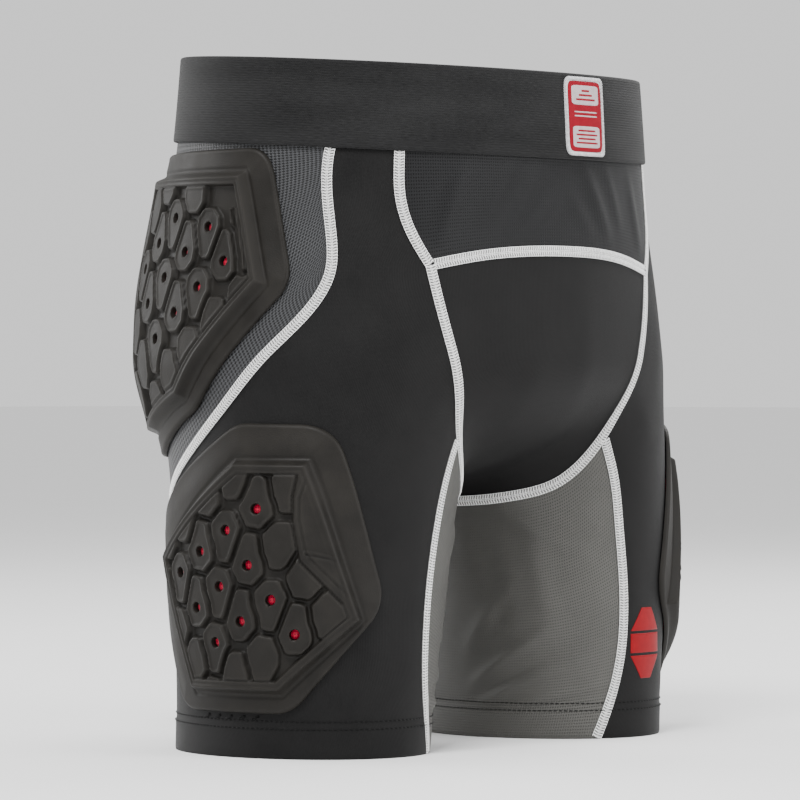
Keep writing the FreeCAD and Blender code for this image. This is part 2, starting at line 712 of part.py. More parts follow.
def main():
    os.makedirs("parts", exist_ok=True)
    parts = built_parts()
    for name, shape in parts.items():
        if not shape.isValid():
            print("not valid:", name)
        shape.translate(Vector(0, -FRAME_DEPTH, 0))
        shape.exportStep("parts/" + name + ".step")
    print(len(parts), "nodes")


main()
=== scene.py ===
"""Looks of a pair of padded impact shorts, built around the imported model.

All shapes lie on one smooth "skin", the outside of the worn cloth. It is the smooth union of an elliptic
trunk and two elliptic legs, and it is worked out here in millimetres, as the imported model's was. Panels,
seams, pads, label and print are surfaces of two parameters on that skin, raised along its normals. Left
pieces are worked out, and right pieces are their mirror images.
"""
from __future__ import annotations

import logging
import math
from dataclasses import dataclass, field
from enum import Enum
from typing import Callable, Sequence

import bpy
import numpy as np
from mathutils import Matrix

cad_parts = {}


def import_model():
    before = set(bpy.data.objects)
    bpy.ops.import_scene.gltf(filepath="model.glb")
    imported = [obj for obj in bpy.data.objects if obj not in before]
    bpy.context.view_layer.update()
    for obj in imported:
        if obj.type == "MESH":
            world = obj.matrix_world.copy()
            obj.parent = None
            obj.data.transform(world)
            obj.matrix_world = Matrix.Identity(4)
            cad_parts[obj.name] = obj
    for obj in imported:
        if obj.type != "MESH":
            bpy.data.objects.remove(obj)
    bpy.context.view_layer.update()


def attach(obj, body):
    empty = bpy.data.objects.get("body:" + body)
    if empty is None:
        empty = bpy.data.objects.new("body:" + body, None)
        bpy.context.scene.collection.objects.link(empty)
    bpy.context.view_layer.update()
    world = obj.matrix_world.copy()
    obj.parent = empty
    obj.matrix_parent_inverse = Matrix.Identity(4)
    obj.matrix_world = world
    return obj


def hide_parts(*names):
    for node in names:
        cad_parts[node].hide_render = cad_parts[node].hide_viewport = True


LOG = logging.getLogger("shorts")
Array = np.ndarray
Point = tuple[float, float]

FRAME_DEPTH = 9.6         # the skin's depths start this far behind the frame's origin
ROOT = "root"


class Side(Enum):
    """Which half of the shorts a piece belongs to, with the sign of its X."""

    LEFT = 1.0
    RIGHT = -1.0

    @property
    def prefix(self) -> str:
        """Start of the piece's name."""
        return "left_" if self is Side.LEFT else "right_"


# ---- smooth profiles and the skin
@dataclass
class Profile:
    """Natural cubic spline through stations.

    Between two stations each value is a cubic that meets its neighbours with equal slope and bend, and the
    bend is zero at both ends.
    """

    stations: Sequence[Sequence[float]]
    t: Array = field(init=False)
    values: Array = field(init=False)
    bends: Array = field(init=False)

    def __post_init__(self) -> None:
        """Solves for the bends at the stations."""
        table = np.asarray(self.stations, float)
        self.t, self.values = table[:, 0], table[:, 1:]
        n, gap = len(self.t), np.diff(self.t)
        system, right = np.eye(n), np.zeros_like(self.values)
        inner = np.arange(1, n - 1)
        system[inner, inner - 1] = gap[:-1]
        system[inner, inner] = 2 * (gap[:-1] + gap[1:])
        system[inner, inner + 1] = gap[1:]
        slope = np.diff(self.values, axis=0) / gap[:, None]
        right[1:-1] = 6 * np.diff(slope, axis=0)
        self.bends = np.linalg.solve(system, right)

    def at(self, t: Array) -> Array:
        """Values at t, held inside the stations.

        Args:
            t: any array of parameters.

        Returns:
            The values, with one more axis than t.
        """
        t = np.clip(t, self.t[0], self.t[-1])
        i = np.clip(np.searchsorted(self.t, t, side="right") - 1, 0, len(self.t) - 2)
        h = self.t[i + 1] - self.t[i]
        a, b = ((self.t[i + 1] - t) / h)[..., None], ((t - self.t[i]) / h)[..., None]
        square = (h * h / 6.0)[..., None]
        return (a * self.values[i] + b * self.values[i + 1]
                + square * ((a ** 3 - a) * self.bends[i] + (b ** 3 - b) * self.bends[i + 1]))


class Chart(Enum):
    """Where a fold's line is drawn: round a leg as (angle, height), or seen from the front or back as (x, z).

    A leg's value is the mm that a degree counts as, and the others' values are the sign of Y that they look
    at.
    """

    LEG = 1.25
    FRONT = -1.0
    BACK = 1.0


@dataclass(frozen=True)
class Fold:
    """A soft crease of the cloth: a ridge of Gaussian section along a line that fades at its ends."""

    chart: Chart
    start: Point
    end: Point
    width: float
    height: float

    def lift(self, p: Array, degrees: Array) -> Array:
        """Height of the fold at points.

        The height is the ridge's height, times exp(-(distance from the line / width)^2), times the sine of
        the way along it to the power 0.7.

        Args:
            p: points, in mm.
            degrees: their angles round the leg's axis, 0 outside, 90 behind and -90 in front.

        Returns:
            The height at each point, in mm.
        """
        leg = self.chart is Chart.LEG
        step = self.chart.value if leg else 1.0
        across = degrees * step if leg else np.abs(p[..., 0])
        q = np.stack([across, p[..., 2]], -1)
        a, b = np.array([self.start[0] * step, self.start[1]]), np.array([self.end[0] * step, self.end[1]])
        gap, way = run_gap(q, a, b)
        here = 1.0 if leg else ramp(p[..., 1] * self.chart.value, 20.0, 50.0)
        ends = np.sin(np.pi * np.clip(way, 0.02, 0.98)) ** 0.7
        return here * self.height * np.exp(-(gap / self.width) ** 2) * ends


@dataclass
class Skin:
    """The outside of the cloth: the zero surface of a field that is about the distance in mm from it."""

    crotch_z: float = 150.0
    bottom_start: float = 215.0
    blend: float = 7.0
    band_low: float = 328.0
    band_height: float = 47.0
    band_tilt: float = 0.06
    trunk: Profile = field(default_factory=lambda: Profile([
        (150, 5, 160, 116), (200, 5, 157.5, 117.5), (225, 5.5, 156, 119), (250, 6, 153, 119.5),
        (282, 4, 148.5, 117), (320, 1, 146, 113.5), (350, 0, 144.5, 111), (390, 0, 141, 108.5)]))
    leg: Profile = field(default_factory=lambda: Profile([
        (-30, 99, -7, 60, 74), (0, 97, -8, 61.5, 75), (20, 96, -8.5, 62.5, 75.5),
        (60, 94.3, -9.5, 67.2, 76.5), (110, 91.3, -9.5, 72.6, 78.5), (150, 86.5, -8, 76.0, 83),
        (200, 81, -2, 76.5, 92), (250, 76, 2, 70, 94), (300, 72, 2, 60, 86), (340, 70, 2, 50, 76),
        (400, 70, 2, 40, 66)]))
    folds: list[Fold] = field(default_factory=list)
    fold_start: float = 10.0      # height above the hem where the folds are whole

    def field_at(self, p: Array) -> Array:
        """The field: the smooth minimum of the trunk's and both legs' own distances.

        Each distance is (radius in units of the ellipse - 1) times the mean half axis. The trunk's radius
        also grows below the height where it starts to close. The smooth minimum is -k log(sum exp(-distance
        / k)).

        Args:
            p: points, (..., 3), in mm.

        Returns:
            The field at each point.
        """
        x, y, z = p[..., 0], p[..., 1], p[..., 2]
        yc, a, b = np.moveaxis(self.trunk.at(z), -1, 0)
        ring = np.hypot(x / a, (y - yc) / b)
        drop = np.maximum(0.0, (self.bottom_start - z) / (self.bottom_start - self.crotch_z + self.blend / 2))
        fields = [(np.hypot(ring, drop) - 1.0) * (a + b) / 2]
        cx, cy, a, b = np.moveaxis(self.leg.at(z), -1, 0)
        for side in Side:
            fields.append((np.hypot((x - side.value * cx) / a, (y - cy) / b) - 1.0) * (a + b) / 2)
        stack = np.stack(fields)
        low = stack.min(0)
        return low - self.blend * np.log(np.exp((low - stack) / self.blend).sum(0))

    def slope(self, p: Array, step: float = 0.05) -> Array:
        """Slope of the field, by central differences."""
        axes = np.eye(3) * step
        return np.stack([(self.field_at(p + d) - self.field_at(p - d)) / (2 * step) for d in axes], axis=-1)

    def normals(self, p: Array) -> Array:
        """Outward unit normals. They turn level towards the hem, so that the foot is flat.

        Args:
            p: points on the skin.

        Returns:
            A unit direction for each.
        """
        g = self.slope(p)
        g[..., 2] *= np.clip(p[..., 2] / 3.0, 0.0, 1.0)
        return g / np.linalg.norm(g, axis=-1, keepdims=True)

    def settle(self, p: Array, keep_height: bool = False) -> Array:
        """Points moved onto the skin by Newton steps: p - slope * field / |slope|^2.

        Args:
            p: points near the skin.
            keep_height: uses only the level part of the slope.

        Returns:
            Points on the skin.
        """
        for _ in range(7):
            g = self.slope(p)
            if keep_height:
                g[..., 2] = 0.0
            p = p - g * (self.field_at(p) / (g * g).sum(-1))[..., None]
        return p

    def cast(self, start: Array, direction: Array, step: float = 6.0) -> Array:
        """First crossing of the skin on rays that start inside it, by steps and then by halving.

        Args:
            start: where each ray starts.
            direction: its unit direction.
            step: length of a step, in mm.

        Returns:
            The crossing of each ray.
        """
        reach = np.full(start.shape[:-1], step)
        for _ in range(60):
            inside = self.field_at(start + direction * reach[..., None]) < 0
            if not inside.any():
                break
            reach = np.where(inside, reach + step, reach)
        low, high = reach - step, reach
        for _ in range(24):
            middle = (low + high) / 2
            inside = self.field_at(start + direction * middle[..., None]) < 0
            low, high = np.where(inside, middle, low), np.where(inside, high, middle)
        return start + direction * low[..., None]

    def front(self, x: Array, z: Array) -> Array:
        """Points of the front that are seen at (x, z)."""
        x, z = np.broadcast_arrays(np.asarray(x, float), np.asarray(z, float))
        return self.cast(np.stack([x, 0 * x, z], -1), np.broadcast_to([0.0, -1.0, 0.0], x.shape + (3,)))

    def back(self, x: Array, z: Array) -> Array:
        """Points of the back that are seen at (x, z)."""
        x, z = np.broadcast_arrays(np.asarray(x, float), np.asarray(z, float))
        return self.cast(np.stack([x, 0 * x, z], -1), np.broadcast_to([0.0, 1.0, 0.0], x.shape + (3,)))

    def around(self, degrees: Array, z: Array) -> Array:
        """Points of the left half at an angle round the leg's axis: 0 is the outer side and 90 the back.

        Args:
            degrees: the angles.
            z: the heights.

        Returns:
            Points on the skin.
        """
        degrees, z = np.broadcast_arrays(np.asarray(degrees, float), np.asarray(z, float))
        cx, cy, _, _ = np.moveaxis(self.leg.at(z), -1, 0)
        turn = np.radians(degrees)
        return self.cast(np.stack([cx, cy, z], -1), np.stack([np.cos(turn), np.sin(turn), 0 * turn], -1))

    def bearing(self, p: Array, turn: float) -> Array:
        """(angle, height) of points, the inverse of around(), with the angles from turn to turn + 360.

        Args:
            p: points near the leg.
            turn: where the angles start.

        Returns:
            (..., 2) angles and heights.
        """
        cx, cy, _, _ = np.moveaxis(self.leg.at(p[..., 2]), -1, 0)
        degrees = np.degrees(np.arctan2(p[..., 1] - cy, p[..., 0] - cx))
        return np.stack([(degrees - turn) % 360.0 + turn, p[..., 2]], -1)

    def at_band(self, p: Array, rise: Array | float = 0.0) -> Array:
        """Points moved to a line along the waistband, a rise above its lower edge.

        Args:
            p: points near the line.
            rise: height above the lower edge, in mm.

        Returns:
            Points on the skin, at band_low + band_tilt * y + rise.
        """
        for _ in range(5):
            p = p.copy()
            p[..., 2] = self.band_low + self.band_tilt * p[..., 1] + rise
            p = self.settle(p, keep_height=True)
        return p

    def raised(self, p: Array, lift: Array | float) -> Array:
        """Skin points lifted along the normals, with the cloth's folds added.

        Args:
            p: points on the skin.
            lift: how far each is lifted, in mm.

        Returns:
            The lifted points.
        """
        cx, cy, _, _ = np.moveaxis(self.leg.at(p[..., 2]), -1, 0)
        degrees = np.degrees(np.arctan2(p[..., 1] - cy, np.abs(p[..., 0]) - cx))
        folds = sum((f.lift(p, degrees) for f in self.folds), np.zeros(p.shape[:-1]))
        return p + self.normals(p) * (lift + folds * ramp(p[..., 2], 0.0, self.fold_start))[..., None]


def unit(v: Array) -> Array:
    """Vectors of length one."""
    return v / np.maximum(np.linalg.norm(v, axis=-1, keepdims=True), 1e-12)


def spaced(line: Array, count: int) -> Array:
    """A line again, as count points at equal steps along it.

    Args:
        line: points of the line.
        count: number of new points.

    Returns:
        The new points.
    """
    along = np.concatenate([[0.0], np.cumsum(np.linalg.norm(np.diff(line, axis=0), axis=1))])
    wanted = np.linspace(0.0, along[-1], count)
    return np.stack([np.interp(wanted, along, line[:, k]) for k in range(line.shape[1])], -1)


def length_of(line: Array) -> float:
    """Length of a line."""
    return float(np.linalg.norm(np.diff(line, axis=0), axis=1).sum())


def shortened(line: Array, start: float, end: float) -> Array:
    """A line with lengths cut off its two ends.

    Args:
        line: points of the line.
        start: length cut off its start, in mm.
        end: length cut off its end.

    Returns:
        Points of what is left.
    """
    fine = spaced(line, 961)
    total = length_of(fine)
    return fine[round(960 * start / total):961 - round(960 * end / total)]


def mirrored(p: Array) -> Array:
    """Points on the other side of the body."""
    return p * np.array([-1.0, 1.0, 1.0])


def nearest(line: Array, p: Array) -> int:
    """Index of the line's point that is nearest to p."""
    return int(np.argmin(np.linalg.norm(line - p, axis=1)))


def run_gap(p: Array, a: Array, b: Array) -> tuple[Array, Array]:
    """How far points lie from a straight run, and where along it they are nearest to it.

    The way along is (p - a).(b - a) / |b - a|^2, held between 0 and 1.

    Args:
        p: points.
        a: start of the run.
        b: end of the run.

    Returns:
        The distances, and the ways along.
    """
    way = np.clip(((p - a) @ (b - a)) / ((b - a) @ (b - a)), 0.0, 1.0)
    return np.linalg.norm(p - a - way[..., None] * (b - a), axis=-1), way


def coons(west: Array, east: Array, south: Array, north: Array) -> Array:
    """A grid of points between four boundary lines, by the Coons rule.

    A point is the blend of west and east across, plus the blend of south and north upwards, less the blend
    of the four corners.

    Args:
        west: points of the left side, upwards.
        east: points of the right side, upwards.
        south: points of the bottom, from left to right.
        north: points of the top, from left to right.

    Returns:
        (rows, columns, dimensions) points.
    """
    t, u = np.linspace(0, 1, len(west))[:, None, None], np.linspace(0, 1, len(south))[None, :, None]
    corners = (south[0] * (1 - u) + south[-1] * u) * (1 - t) + (north[0] * (1 - u) + north[-1] * u) * t
    return west[:, None] * (1 - u) + east[:, None] * u + south[None] * (1 - t) + north[None] * t - corners


def ramp(x: Array, low: float, high: float) -> Array:
    """0 below low, 1 above high, and the smooth cubic 3t^2 - 2t^3 between them."""
    t = np.clip((x - low) / (high - low), 0.0, 1.0)
    return t * t * (3 - 2 * t)


def bump(x: Array, centre: float, width: float) -> Array:
    """exp(-((x - centre) / width) squared)."""
    return np.exp(-((x - centre) / width) ** 2)


# ---- meshes
@dataclass
class Shell:
    """Vertices in mm with quads, triangles and a flat pattern position for each vertex."""

    points: Array
    quads: Array
    triangles: Array = field(default_factory=lambda: np.zeros((0, 3), int))
    cut: Array | None = None
    flat_from: int | None = None      # quads from this index on are shaded flat

    def other_side(self) -> "Shell":
        """The mirror image, with its faces turned to point outwards again."""
        return Shell(mirrored(self.points), self.quads[:, ::-1], self.triangles[:, ::-1], self.cut,
                     self.flat_from)

    def placed(self, side: Side) -> "Shell":
        """This shell for the left, its mirror image for the right."""
        return self if side is Side.LEFT else self.other_side()


def joined(shells: Sequence[Shell]) -> Shell:
    """Several shells as one, all shaded smooth, with their pattern positions if they all have them.

    Args:
        shells: the shells.

    Returns:
        One shell.
    """
    starts = np.cumsum([0] + [len(s.points) for s in shells[:-1]])
    cuts = [s.cut for s in shells if s.cut is not None]
    return Shell(np.concatenate([s.points for s in shells]),
                 np.concatenate([s.quads + k for s, k in zip(shells, starts)]),
                 np.concatenate([s.triangles + k for s, k in zip(shells, starts)]),
                 cut=np.concatenate(cuts) if len(cuts) == len(shells) else None)


def facing_out(shell: Shell) -> Shell:
    """A closed shell with its faces turned outwards.

    The volume is the sum over the triangles of a . (b x c) / 6, measured from the shell's middle. It is
    negative where the faces look inwards, and then every face is reversed.

    Args:
        shell: the closed shell.

    Returns:
        The same shell, or one with every face reversed.
    """
    p = shell.points - shell.points.mean(0)
    triangles = np.concatenate([shell.quads[:, [0, 1, 2]], shell.quads[:, [0, 2, 3]], shell.triangles])
    a, b, c = p[triangles[:, 0]], p[triangles[:, 1]], p[triangles[:, 2]]
    if (a * np.cross(b, c)).sum() < 0:
        shell.quads, shell.triangles = shell.quads[:, ::-1], shell.triangles[:, ::-1]
    return shell


def lattice_quads(rows: int, columns: int, loop_rows: bool = False, loop_columns: bool = False) -> Array:
    """Quads between the points of a grid, whose ends may be joined.

    Args:
        rows: number of rows of points.
        columns: number of points in a row.
        loop_rows: joins the last row to the first.
        loop_columns: joins the last column to the first.

    Returns:
        (n, 4) indices into the flattened grid, anticlockwise where rows go up and columns go right.
    """
    i = np.arange(rows if loop_rows else rows - 1)[:, None]
    j = np.arange(columns if loop_columns else columns - 1)[None, :]
    up, right = (i + 1) % rows, (j + 1) % columns
    quads = np.stack([i * columns + j, i * columns + right, up * columns + right, up * columns + j], -1)
    return quads.reshape(-1, 4)


def edge_loop(quads: Array) -> Array:
    """Border edges of a set of quads, each in the direction of its own quad.

    Args:
        quads: four corner numbers for each face.

    Returns:
        (edges, 2) corner numbers.
    """
    edges = np.concatenate([quads[:, [k, (k + 1) % 4]] for k in range(4)])
    size = int(quads.max()) + 1
    key = edges[:, 0] * size + edges[:, 1]
    return edges[~np.isin(key, edges[:, 1] * size + edges[:, 0])]


def closed_sheet(outer: Array, inner: Array, cut: Array, kept: Array | None = None) -> Shell:
    """A sheet with two faces on one grid and walls round every border.

    Args:
        outer: (rows, columns, 3) points of the face.
        inner: the same of the back.
        cut: (rows, columns, 2) flat pattern positions in metres.
        kept: (rows - 1, columns - 1) which cells there are; all of them when left out.

    Returns:
        The closed shell.
    """
    rows, columns = outer.shape[:2]
    face = lattice_quads(rows, columns)
    if kept is not None:
        face = face[kept.ravel()]
    count = rows * columns
    edges = edge_loop(face)
    walls = np.stack([edges[:, 1], edges[:, 0], edges[:, 0] + count, edges[:, 1] + count], -1)
    quads = np.concatenate([face, face[:, ::-1] + count, walls])
    points = np.concatenate([outer.reshape(-1, 3), inner.reshape(-1, 3)])
    used = np.unique(quads)
    renumber = np.zeros(2 * count, int)
    renumber[used] = np.arange(len(used))
    flat = np.concatenate([cut.reshape(-1, 2)] * 2)[used]
    return Shell(points[used], renumber[quads], cut=flat, flat_from=2 * len(face))


def make_piece(name: str, shell: Shell, material: bpy.types.Material, slot: str,
               nodes: Sequence[str] = ()) -> bpy.types.Object:
    """A Blender object from a shell, riding on the body and standing for CAD nodes.

    Args:
        name: the piece's name.
        shell: its points in mm and faces.
        material: its finish.
        slot: not used.
        nodes: the CAD nodes that it replaces.

    Returns:
        The object, at the origin, with its place in its mesh.
    """
    mesh = bpy.data.meshes.new(name)
    place = (shell.points - np.array([0.0, FRAME_DEPTH, 0.0])) / 1000.0
    loops = np.concatenate([shell.quads.ravel(), shell.triangles.ravel()]).astype(np.int32)
    starts = np.concatenate([np.arange(len(shell.quads)) * 4,
                             shell.quads.size + np.arange(len(shell.triangles)) * 3]).astype(np.int32)
    mesh.vertices.add(len(place))
    mesh.vertices.foreach_set("co", place.astype(np.float32).ravel())
    mesh.loops.add(len(loops))
    mesh.loops.foreach_set("vertex_index", loops)
    mesh.polygons.add(len(starts))
    mesh.polygons.foreach_set("loop_start", starts)
    smooth = np.ones(len(starts), bool)
    if shell.flat_from is not None:
        smooth[shell.flat_from:len(shell.quads)] = False
    mesh.polygons.foreach_set("use_smooth", smooth)
    if shell.cut is not None:
        layer = mesh.uv_layers.new(name="cut")
        layer.data.foreach_set("uv", shell.cut[loops].astype(np.float32).ravel())
    mesh.update(calc_edges=True)
    mesh.validate()
    mesh.materials.append(material)
    piece = bpy.data.objects.new(name, mesh)
    bpy.context.scene.collection.objects.link(piece)
    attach(piece, ROOT)
    if nodes:
        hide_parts(*nodes)
    LOG.info("%s: %d faces", name, len(starts))
    return piece


# ---- the sewing pattern
@dataclass
class Pattern:
    """Every seam line of the left half, on the skin.

    Where one line ends on another, it ends on a point of that line. Places are given as front(x, z) and
    back(x, z) seen from there, around(angle, z) round the leg, and spot(x, y, z) where neither sees them.
    """

    skin: Skin
    lap: float = 6.0      # the panels run up behind the waistband by this much

    def curve(self, guides: Sequence[Array], count: int) -> Array:
        """A smooth line on the skin: a natural cubic spline through guide points, settled and respaced.

        Args:
            guides: points near the skin.
            count: number of points of the line.

        Returns:
            (count, 3) points on the skin.
        """
        g = np.array([np.asarray(p, float) for p in guides])
        along = np.concatenate([[0.0], np.cumsum(np.linalg.norm(np.diff(g, axis=0), axis=1))])
        path = Profile(np.concatenate([along[:, None], g], 1)).at(np.linspace(0, along[-1], 241))
        return spaced(self.skin.settle(path), count)

    def spot(self, x: float, y: float, z: float) -> Array:
        """The skin's point near a place."""
        return self.skin.settle(np.array([x, y, z], float))

    def foot(self, x: float, y: float) -> Array:
        """The hem's point near a place on the floor."""
        return self.skin.settle(np.array([x, y, 0.0]), True)

    def __post_init__(self) -> None:
        """Works out the lines."""
        front, back, around, spot = self.skin.front, self.skin.back, self.skin.around, self.spot
        at_band, lap = self.skin.at_band, self.lap
        self.yoke_corner = front(89, 262)
        self.yoke_side = self.curve([at_band(front(100, 322), lap), at_band(front(100, 322)),
                                     front(101, 300), front(97.5, 280), self.yoke_corner], 161)
        self.yoke_low = self.curve([self.yoke_corner, front(60, 267.5), front(0, 271), front(-60, 267.5),
                                    front(-89, 262)], 201)
        band_back = at_band(back(45, 334))
        self.back_line = self.curve([self.foot(60.0, 60.0), around(120, 25), around(121, 55),
                                     around(118, 88), back(42, 121), back(45, 150), back(49, 185),
                                     back(51, 215), back(49, 262), back(46, 300), band_back,
                                     at_band(band_back, lap)], 481)
        self.thigh_share = nearest(self.back_line, around(118, 88))
        self.fold_share = nearest(self.back_line, back(42, 121))
        self.thigh_corner = self.back_line[self.thigh_share]
        self.fold_corner = self.back_line[self.fold_share]
        self.under_line = self.curve([self.yoke_corner, front(86, 246), front(81, 226), front(74.5, 206),
                                      front(67, 187), front(60, 171), front(50, 155), front(39, 143.5),
                                      front(27, 137.5), spot(16, 4, 134), spot(19, 26, 133),
                                      spot(29, 41, 129), self.fold_corner], 451)
        self.crease_share = nearest(self.under_line, front(60, 171))
        self.cross_share = nearest(self.under_line, spot(18, 22, 133))
        self.crease_corner = self.under_line[self.crease_share]
        self.cross_end = self.under_line[self.cross_share]
        self.cross_line = self.curve([mirrored(self.cross_end), spot(-10, 24, 146), spot(0, 24, 151),
                                      spot(10, 24, 146), self.cross_end], 61)
        self.fold_line = self.curve([mirrored(self.fold_corner), spot(-20, 60, 142), spot(0, 64, 155),
                                     spot(20, 60, 142), self.fold_corner], 121)
        self.inseam_front = self.curve([self.crease_corner, front(70, 146), front(76, 119), front(80, 94),
                                        front(82, 63), front(81, 45), front(77.5, 26),
                                        self.foot(73.0, -70.0)], 201)
        self.hip_seam = self.curve([at_band(front(125, 322), lap), at_band(front(126, 322)),
                                    front(128, 300), front(128.5, 277), front(131, 258),
                                    around(-43, 240), around(-26, 215),
                                    around(-4, 185), around(19, 160), around(45, 137), around(72, 114),
                                    around(96, 98), self.thigh_corner], 401)
        self.pouch_side = self.under_line[:self.cross_share + 1]
        self.gusset_back = self.under_line[self.cross_share:]
        self.inseam_back = self.back_line[:self.thigh_share + 1]
        self.seat_side = self.back_line[self.thigh_share:]
        self.back_side = self.back_line[self.fold_share:]

    def hem_arc(self, start: Array, end: Array, count: int, turn: float = -180.0) -> Array:
        """The hem's foot between two points, at z = 0.

        Args:
            start: first point.
            end: last point.
            count: number of points.
            turn: where the angle round the leg is cut.

        Returns:
            (count, 3) points.
        """
        a, b = self.skin.bearing(start, turn)[0], self.skin.bearing(end, turn)[0]
        return self.skin.around(np.linspace(a, b, count), np.zeros(count))

    def band_arc(self, start: Array, end: Array, count: int, middle: bool = False) -> Array:
        """A line under the waistband between two points, turned about the leg's axis or the body's middle.

        Args:
            start: first point.
            end: last point.
            count: number of points.
            middle: turns about the body's middle.

        Returns:
            (count, 3) points.
        """
        centre = np.array([0.0 if middle else 70.0, 0.0, start[2]])
        a, b = (math.atan2(p[1] - centre[1], p[0] - centre[0]) for p in (start, end))
        if middle and start[1] < 0 and b > a + math.pi:
            b -= 2 * math.pi
        turn = np.linspace(a, b, count)
        rays = np.stack([np.cos(turn), np.sin(turn), 0 * turn], -1)
        return self.skin.at_band(self.skin.cast(np.broadcast_to(centre, rays.shape), rays), self.lap)

    def chart_line(self, start: Array, end: Array, count: int) -> Array:
        """The line from one point of the leg to another that is straight in (angle, height).

        Args:
            start: first point.
            end: last point.
            count: number of points.

        Returns:
            (count, 3) points on the skin.
        """
        a, b = self.skin.bearing(start, -180.0), self.skin.bearing(end, -180.0)
        marks = a + (b - a) * np.linspace(0, 1, count)[:, None]
        return self.skin.around(marks[:, 0], marks[:, 1])

    def blended(self, left: Array, right: Array, low: Array, high: Array, rows: int, columns: int,
                turn: float = -180.0, wrap: bool = True) -> Array:
        """A grid of skin points between four boundary lines.

        The Coons rule gives its points. Where the piece wraps round the leg, it is applied to (angle,
        height).

        Args:
            left: line of the left side, upwards.
            right: line of the right side, upwards.
            low: line of the bottom, from left to right.
            high: line of the top, from left to right.
            rows: number of rows, from low to high.
            columns: number of points in a row.
            turn: where the angle is cut.
            wrap: whether the rule is applied to (angle, height).

        Returns:
            (rows, columns, 3) points.
        """
        sides = [spaced(line, count) for line, count in ((left, rows), (right, rows),
                                                         (low, columns), (high, columns))]
        if wrap:
            sides = [self.skin.bearing(line, turn) for line in sides]
        p = coons(*sides)
        return self.skin.around(p[..., 0], p[..., 1]) if wrap else self.skin.settle(p)


def stacked(patches: Sequence[Array]) -> Array:
    """Grids that share rows, as one grid."""
    return np.concatenate([patches[0]] + [g[1:] for g in patches[1:]])


def flat_cut(grid: Array) -> Array:
    """Flat pattern positions of a grid in metres: the way along each middle row and column, from its middle.

    Across is the way along a point's own row from the row's middle, and up is the way along the middle
    column.

    Args:
        grid: (rows, columns, 3) points, in mm.

    Returns:
        (rows, columns, 2) places.
    """
    steps = np.linalg.norm(np.diff(grid, axis=1), axis=2)
    across = np.concatenate([np.zeros((len(grid), 1)), np.cumsum(steps, 1)], 1)
    across -= across[:, [grid.shape[1] // 2]]
    middle = grid[:, grid.shape[1] // 2]
    up = np.concatenate([[0.0], np.cumsum(np.linalg.norm(np.diff(middle, axis=0), axis=1))])
    return np.stack([across, np.broadcast_to(up[:, None], across.shape)], -1) / 1000.0


